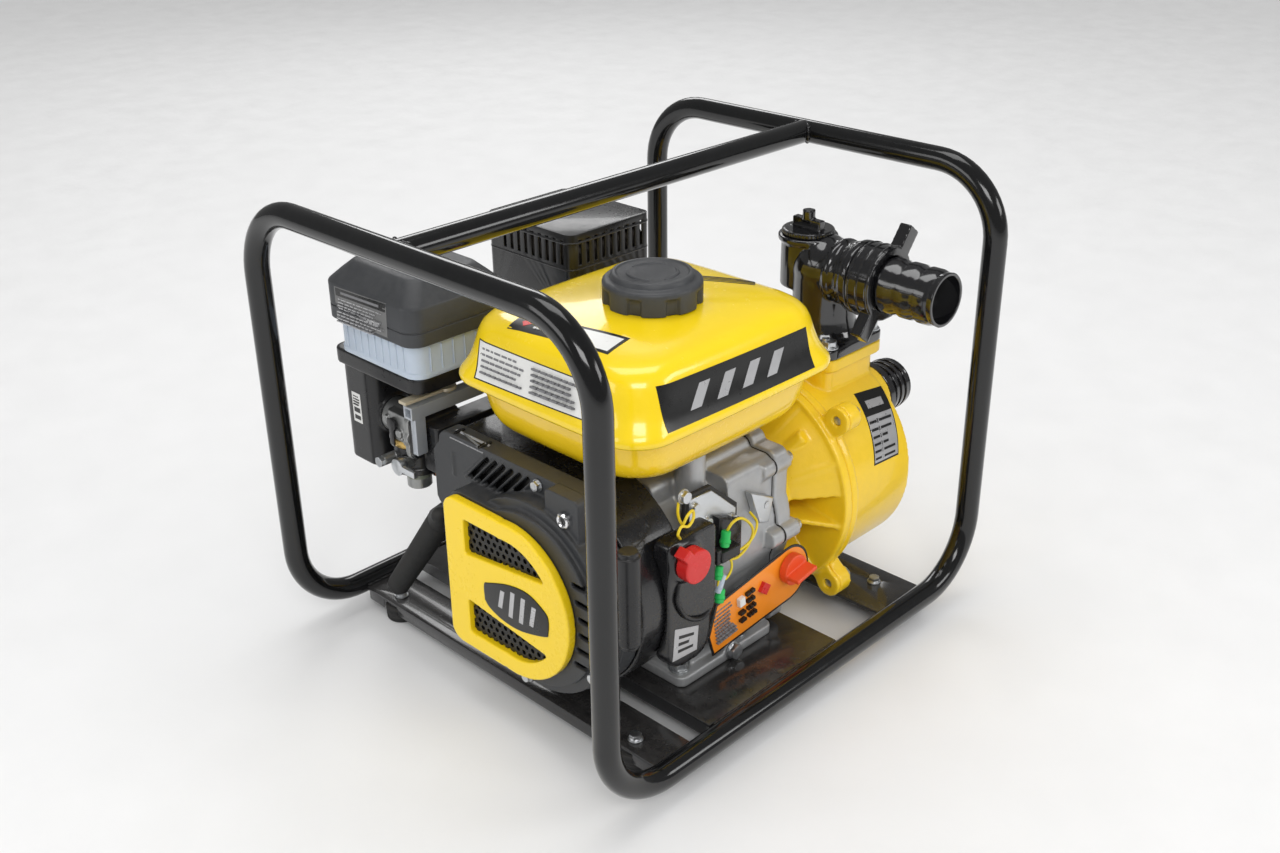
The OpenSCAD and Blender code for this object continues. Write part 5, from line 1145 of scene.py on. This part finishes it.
def build_cleaner():
    lo, hi = span("air_cleaner_body")
    glo, ghi = span("air_cleaner_cover")
    cast("silencer_box_moulded", "air_cleaner_base", "black", voxel=1.2, passes=4, ratio=0.35)
    # translucent body, with upright mould lines and a foot rim
    bm = bmesh.new()

    def rect(inset, z, r, box=(lo, hi)):
        a, b = box
        return [v(x, y, z) for x, y in round_rect(a.x + inset, b.x - inset, a.y + inset, b.y - inset, r, 10)]

    prof = [(3.2, lo.z + 3.2, 11), (3.2, hi.z - 0.1, 11), (0.0, hi.z - 0.1, 14), (0, hi.z - 3, 14),
            (0.8, hi.z - 3.6, 14), (0.8, lo.z + 6, 14), (0, lo.z + 5.2, 14), (0, lo.z + 0.8, 14),
            (0.8, lo.z + 0.1, 14), (14, lo.z + 0.1, 8)]
    loft(bm, [rect(*p) for p in prof])
    for i in range(9):
        y = lo.y + 17 + 10.2 * i
        box_at(bm, (lo.x - 0.15, lo.x + 1.4), (y - 0.8, y + 0.8), (lo.z + 6, hi.z - 4), 0.6, 0.4)
    for i in range(6):
        x = lo.x + 17 + 12.6 * i
        for y in (lo.y, hi.y):
            box_at(bm, (x - 0.8, x + 0.8), (y - 0.6, y + 0.6), (lo.z + 6, hi.z - 4), 0.5, 0.4)
    place("cleaner_body_moulded", bm, "air_cleaner_body", "milky", "air_cleaner_body", angle=50)
    # cover: upright sides with a seam, then a wide chamfer up to a flat top with a recess for the nut
    bm = bmesh.new()
    box = (glo, ghi)
    seam = glo.z + 13
    sides = [(6.0, glo.z + 6, 11), (3.0, glo.z + 0.5, 13), (0.8, glo.z + 0.1, 15), (0, glo.z + 1.0, 16),
             (0, seam - 1.0, 16), (0.9, seam - 0.3, 16), (0.9, seam + 0.3, 16), (0, seam + 1.0, 16),
             (0, ghi.z - 19.5, 16), (0.6, ghi.z - 18, 16), (1.6, ghi.z - 16.8, 16), (9, ghi.z - 9, 14.5),
             (16.0, ghi.z - 2.2, 13), (17.6, ghi.z - 0.8, 12.6), (19.8, ghi.z - 0.1, 12), (24, ghi.z, 11),
             (34, ghi.z, 9)]
    rings = [rect(i, z, r, box) for i, z, r in sides]
    nx, ny, _ = middle("air_cleaner_cover")
    for rad, z in ((19.5, ghi.z), (18.2, ghi.z - 0.3), (16.4, ghi.z - 5.2), (15.2, ghi.z - 5.9),
                   (4, ghi.z - 5.9)):
        ring = []
        for p in rings[0]:
            a = math.atan2(p.y / MM - ny, p.x / MM - nx)
            ring.append(v(nx + rad * math.cos(a), ny + rad * math.sin(a), z))
        rings.append(ring)
    loft(bm, rings)
    cover = place("cleaner_cover_moulded", bm, "air_cleaner_cover", "cap", "air_cleaner_cover", angle=28)
    # wing nut: a turned hub with two swept wings
    bm = bmesh.new()
    z = span("wing_nut")[0].z
    hub = [(3, 0), (10.6, 0), (11, 0.4), (11, 1.1), (10.4, 1.5), (7, 1.6), (6.2, 2.2), (5.6, 8), (4.8, 8.8),
           (3, 8.8), (3, 2)]
    lathe(bm, (nx, ny, z), Z, hub, 40)
    wing = [(4.0, 1.9, 2.4, 8.0), (7, 1.7, 3.0, 9.4), (10, 1.4, 4.2, 10.6), (12.3, 1.1, 5.8, 11.0),
            (13.0, 0.6, 7.0, 10.4)]
    turn = math.radians(20)
    along, across = Vector((math.cos(turn), math.sin(turn), 0)), Vector((-math.sin(turn), math.cos(turn), 0))
    for s in (-1, 1):
        rings = []
        for t, half, zl, zh in wing:
            c = Vector((nx, ny, z)) + along * (s * t)
            ring = []
            for i in range(12):
                a = 2 * math.pi * i / 12
                height = (zl + zh) / 2 + (zh - zl) / 2 * math.sin(a)
                ring.append((c + across * (half * math.cos(a)) + Vector((0, 0, height))) * MM)
            rings.append(ring)
        loft(bm, rings)
    place("wing_nut_forged", bm, "wing_nut", "chrome", "wing_nut")
    bm = bmesh.new()
    rod(bm, (nx, ny, z - 4), (nx, ny, z + 7.2), 2.9, 0.6, 20)
    place("cover_stud", bm, "air_cleaner_cover", "zinc")
    tree = tree_of(cover)
    marks = [("grey", (0, 0, 1, 1)), ("ink", (0.02, 0.76, 0.98, 0.97)), ("print", (0.12, 0.83, 0.86, 0.90))]
    marks += print_lines("silver", 0.06, 0.94, 0.06, 0.72, 8, 0.4, 12)
    corners = ((-190, 184, 309), (-190, 110, 311), (-188, 108, 346), (-190, 184, 343))
    decal("cleaner_label", "air_cleaner_cover", tree, corners, X, marks)
    tree = tree_of(bpy.data.objects["silencer_box_moulded"])
    corners = ((-178, 193, 205), (-178, 180, 205), (-178, 180, 235), (-178, 193, 235))
    marks = [("paper", (0, 0, 1, 1)), ("ink", (0.15, 0.1, 0.85, 0.24)), ("ink", (0.15, 0.34, 0.85, 0.5))]
    marks += print_lines("ink", 0.15, 0.85, 0.56, 0.92, 4, 0.4, 3)
    decal("silencer_label", "air_cleaner_base", tree, corners, X, marks)


def build_muffler():
    lo, hi = span("muffler_guard")
    crisp("muffler_guard_pressed", "muffler_guard", "guard", width=1.0)
    # pressed ridge above the slots and a bright lower rim
    bm = bmesh.new()
    for z, out, r in ((hi.z - 8.5, -0.5, 1.4), (hi.z - 34, -0.5, 1.2)):
        pts = [v(x, y, z) for x, y in round_rect(lo.x - out, hi.x + out, lo.y - out, hi.y + out, 8, 8)]
        sweep(bm, pts, r, 10, closed=True)
    place("guard_ridges", bm, "muffler_guard", "guard")
    bm = bmesh.new()
    pts = [v(x, y, lo.z + 7) for x, y in round_rect(lo.x + 0.5, hi.x - 0.5, lo.y + 0.5, hi.y - 0.5, 8, 8)]
    sweep(bm, pts, 1.1, 8, closed=True)
    place("guard_rim", bm, "muffler_guard", "steel")
    cast("muffler_box_seamed", "muffler", "muffler", voxel=1.3, passes=5, ratio=0.35)
    bm = bmesh.new()
    for x in (lo.x + 14, hi.x - 14):
        for y in (lo.y + 14, hi.y - 14):
            lathe(bm, (x, y, hi.z - 0.6), Z, [(6, 0), (6, 0.5), (4.8, 0.6), (4.8, -0.2)], 24)
    place("guard_screws", bm, "muffler_guard", "zinc")


# ---------------------------------------------------------------- pump
def build_pump():
    alo, ahi = span("pump_adapter")
    plo, phi = span("pump_casing")

    def adapter(bm):
        # conical wall over the upper pockets on the tank side, with a recessed screw boss
        rings = []
        for k in range(15):
            a = math.radians(11 + 5 * k)
            cy, cz = -math.sin(a), math.cos(a)
            ring = []
            for x, r in ((alo.x + 6, 60), (ahi.x - 8, 103), (ahi.x - 8, 98), (alo.x + 6, 55)):
                ring.append(v(x, CRANK_Y + cy * r, CRANK_Z + cz * r))
            rings.append(ring)
        loft(bm, rings)
        rod(bm, (76, -114, 186), (84, -130, 203), 6.5, 1.2, 24)

    cast("pump_adapter_cast", "pump_adapter", "casting", voxel=1.4, passes=4, ratio=0.35, extra=adapter)

    def casing(bm):
        for lp in face_loops("pump_casing", "x", -1)[:1]:
            sweep(bm, [v(plo.x + 6, *p) for p in grow(lp, -0.8)], 1.8, 8, closed=True)
        lathe(bm, (phi.x - 14, CRANK_Y, CRANK_Z), X, [(60, 0), (62, 2), (62, 5), (59, 7), (40, 7)], 72)

    cast("pump_casing_cast", "pump_casing", "casting", voxel=1.5, passes=4, ratio=0.35, extra=casing)
    tree = tree_of(bpy.data.objects["pump_casing_cast"])
    marks = [("ink", (0, 0, 1, 1)), ("silver", (0.03, 0.03, 0.97, 0.70)), ("silver", (0.2, 0.79, 0.8, 0.89))]
    for row in range(6):
        w = 0.07 + row * 0.105
        marks += [("ink", (0.06, w, 0.30, w + 0.035)), ("ink", (0.35, w - 0.012, 0.355, w + 0.05)),
                  ("ink", (0.42, w, random.uniform(0.6, 0.9), w + 0.035))]
    corners = ((148, -161, 160), (186, -161, 158), (202, -126, 213), (164, -126, 216))
    decal("rating_plate", "pump_casing", tree, corners, Y, marks, lift=0.3)
    elo, ehi = span("discharge_elbow")
    nx, ny = (elo.x + ehi.x) / 2, ehi.y - 46.0  # middle of its foot

    def elbow(bm):
        # bands round the outlet, and fillets where the bend leaves its foot
        for y, r in ((elo.y + 12, 31.5), (elo.y + 26, 31.0)):
            band = [(24, 0), (r - 0.6, 0), (r, 0.8), (r, 4.6), (r - 0.6, 5.4), (24, 5.4)]
            lathe(bm, (nx, y - 3, 329), Y, band, 64)
        fillet = [(24, 0), (40, 0), (36, 3), (32.5, 9), (30.6, 18), (30.2, 26), (24, 26)]
        lathe(bm, (nx, -78, elo.z + 9), Z, fillet, 64)

    cast("discharge_elbow_cast", "discharge_elbow", "gloss", voxel=1.1, passes=10, ratio=0.35, extra=elbow)
    bm = bmesh.new()
    for x in (nx - 32, nx + 32):
        for y in (ny - 32, ny + 32):
            hexagon(bm, (x, y, elo.z + 10.2), (0, 0, 1), 11, 5)
            lathe(bm, (x, y, elo.z + 9.8), Z, [(4, 0), (8, 0), (8, 1.2), (7.4, 1.4), (4, 1.4)], 24)
            rod(bm, (x, y, elo.z + 12), (x, y, elo.z + 18.5), 3.6, 0.8, 16)
    place("elbow_nuts", bm, "discharge_elbow", "zinc")
    # hose barbs: saw-tooth ridges about an open bore
    dlo, dhi = span("discharge_hose_barb")
    dx, _, dz = middle("discharge_hose_barb")
    bm = bmesh.new()
    barb_profile(bm, (dx, dhi.y, dz), (0, -1, 0), dhi.y - dlo.y, 29, 6)
    place("discharge_barb_moulded", bm, "discharge_hose_barb", "gloss", "discharge_hose_barb", angle=30)
    slo, shi = span("suction_hose_barb")
    _, sy, sz = middle("suction_hose_barb")
    flange_x = 215.2
    bm = bmesh.new()
    barb_profile(bm, (flange_x, sy, sz), X, shi.x - flange_x, 32.4, 8)
    lathe(bm, (slo.x + 0.2, sy, sz), X, [(24, 0), (24, 26)], 64)
    place("suction_barb_moulded", bm, "suction_hose_barb", "gloss", "suction_hose_barb", angle=30)
    # a dark grey disc down each bore is painted shade: it stands in for the shade deeper inside the pipe
    for at, axis, node in (((dx, dlo.y + 26, dz), -Y, "discharge_hose_barb"),
                           ((shi.x - 30, sy, sz), X, "suction_hose_barb")):
        turned(node + "_bore_painted_shade", node, "grey", at, axis, [(21.5, 0), (21.5, 0.4)], 64)
    cast("discharge_nut_moulded", "discharge_nut", "gloss", voxel=1.0, passes=5, ratio=0.45)
    # grip ribs round the nut
    bm = bmesh.new()
    nlo, nhi = span("discharge_nut")
    for y in (nlo.y + 3, nlo.y + 13, nhi.y - 3):
        sweep(bm, circle(v(dx, y, dz), X, Z, 33.6 * MM, 72), 1.3, 8, closed=True)
    place("nut_bands", bm, "discharge_nut", "gloss")
    # priming cap: knurled skirt under a crossbar and a round grip
    px, py, _ = middle("priming_cap")
    cast("priming_cap_moulded", "priming_cap", "gloss", voxel=0.9, passes=4, ratio=0.5)
    bm = bmesh.new()
    for i in range(48):
        a = 2 * math.pi * i / 48
        x, y = px + 23.8 * math.cos(a), py + 23.8 * math.sin(a)
        rod(bm, (x, y, 357.4), (x, y, 361.2), 0.8, 0.3, 8)
    place("priming_cap_knurl", bm, "priming_cap", "gloss")


def barb_profile(bm, at, axis, length, root, flange):
    """Flange, then shallow lands for the hose to grip, then back down the bore."""
    ridge, groove, bore = 25.8, 23.9, 21.6
    prof = [(bore, 2.0), (root - 0.4, 0.2), (root, 0.6), (root, flange - 0.8), (root - 0.8, flange),
            (groove, flange)]
    pitch = (length - flange - 4) / 4
    h = flange + 3.0
    for _ in range(4):
        prof += [(groove, h), (ridge - 0.3, h + 0.1), (ridge, h + 0.5), (ridge - 0.2, h + pitch * 0.55),
                 (groove, h + pitch * 0.75)]
        h += pitch
    prof += [(groove + 0.8, length - 2.2), (groove + 0.8, length - 0.6), (groove + 0.2, length),
             (bore + 0.5, length), (bore, length - 0.6), (bore, 26)]
    lathe(bm, at, axis, prof, 96, caps=False)
    lathe(bm, at, axis, [(bore + 0.01, 2.2), (bore + 0.01, 26.2)], 96)


build_engine()
build_fuel_side()
build_cleaner()
build_muffler()
build_pump()


# ---------------------------------------------------------------- stage, light and camera
def build_stage():
    bm = bmesh.new()
    size = 6.0
    corners = ((-size, -size), (size, -size), (size, size), (-size, size))
    loft(bm, [[Vector((x, y, -0.0004 - depth)) for x, y in corners] for depth in (0.01, 0)])
    mesh = bpy.data.meshes.new("floor")
    bmesh.ops.recalc_face_normals(bm, faces=bm.faces)
    bm.to_mesh(mesh)
    bm.free()
    floor = bpy.data.objects.new("floor", mesh)
    bpy.context.scene.collection.objects.link(floor)
    floor.data.materials.append(material("floor_pale", (0.80, 0.80, 0.80), 0.6, vary=0.01))
    world = bpy.data.worlds.new("studio")
    world.use_nodes = True
    nt = world.node_tree
    sky = nt.nodes["Background"]
    sky.inputs["Color"].default_value = (1, 1, 1, 1)
    # glossy surfaces see a dimmer room, so that black paint stays black between its highlights
    rays = nt.nodes.new("ShaderNodeLightPath")
    dim = node_math(nt, "MULTIPLY", rays.outputs["Is Glossy Ray"], -0.52)
    nt.links.new(node_math(nt, "ADD", dim, 0.72), sky.inputs["Strength"])
    bpy.context.scene.world = world
    bpy.context.scene.view_settings.view_transform = "Standard"
    target = Vector((0, 0, 0.2))
    for name, at, size, power in (
        ("key", (-1.6, -1.9, 2.2), 1.4, 26),
        ("fill", (-2.6, 0.8, 1.3), 1.6, 12),
        ("side", (1.3, -2.4, 1.4), 1.2, 13),
        ("top", (0.2, 0.3, 2.8), 1.8, 18),
        ("back", (1.8, 2.2, 1.8), 1.4, 13),
    ):
        lamp = bpy.data.lights.new(name, "AREA")
        lamp.shape = "RECTANGLE"
        lamp.size, lamp.size_y = size, size * 0.6
        lamp.energy = power
        ob = bpy.data.objects.new(name, lamp)
        ob.location = at
        ob.rotation_mode = "QUATERNION"
        ob.rotation_quaternion = (target - Vector(at)).to_track_quat("-Z", "Y")
        bpy.context.scene.collection.objects.link(ob)
    cam = bpy.data.objects.new("camera", bpy.data.cameras.new("camera"))
    cam.data.lens, cam.data.sensor_width = 39.70, 36
    cam.data.clip_start, cam.data.clip_end = 0.05, 50
    # where the photograph was taken from: the view's right, up and backward directions, and its place
    view = ((0.69777, -0.71624, -0.01072), (0.32092, 0.29919, 0.89861), (-0.64041, -0.63046, 0.43862))
    turn = Matrix([Vector(a).normalized() for a in view]).transposed().to_4x4()
    cam.matrix_world = Matrix.Translation(v(-836.1, -827.3, 773.0)) @ turn
    bpy.context.scene.collection.objects.link(cam)
    bpy.context.scene.camera = cam


build_stage()

# every CAD node still showing gets its finish
NODE_FINISH = {
    "main_bearings": "steel", "crankshaft": "steel", "flywheel": "iron", "camshaft": "iron",
    "piston": "steel", "recoil_pulley": "black", "filter_element": "foam", "volute": "casting",
    "impeller": "brass", "shaft_seal": "steel", "check_valve_flap": "rubber", "spark_plug": "white",
}


def finish_nodes():
    for name, ob in frame["nodes"].items():
        if ob.hide_render:
            continue
        mat = MAT[NODE_FINISH.get(name, "cast")]
        for s in ob.material_slots:
            s.material = mat


finish_nodes()
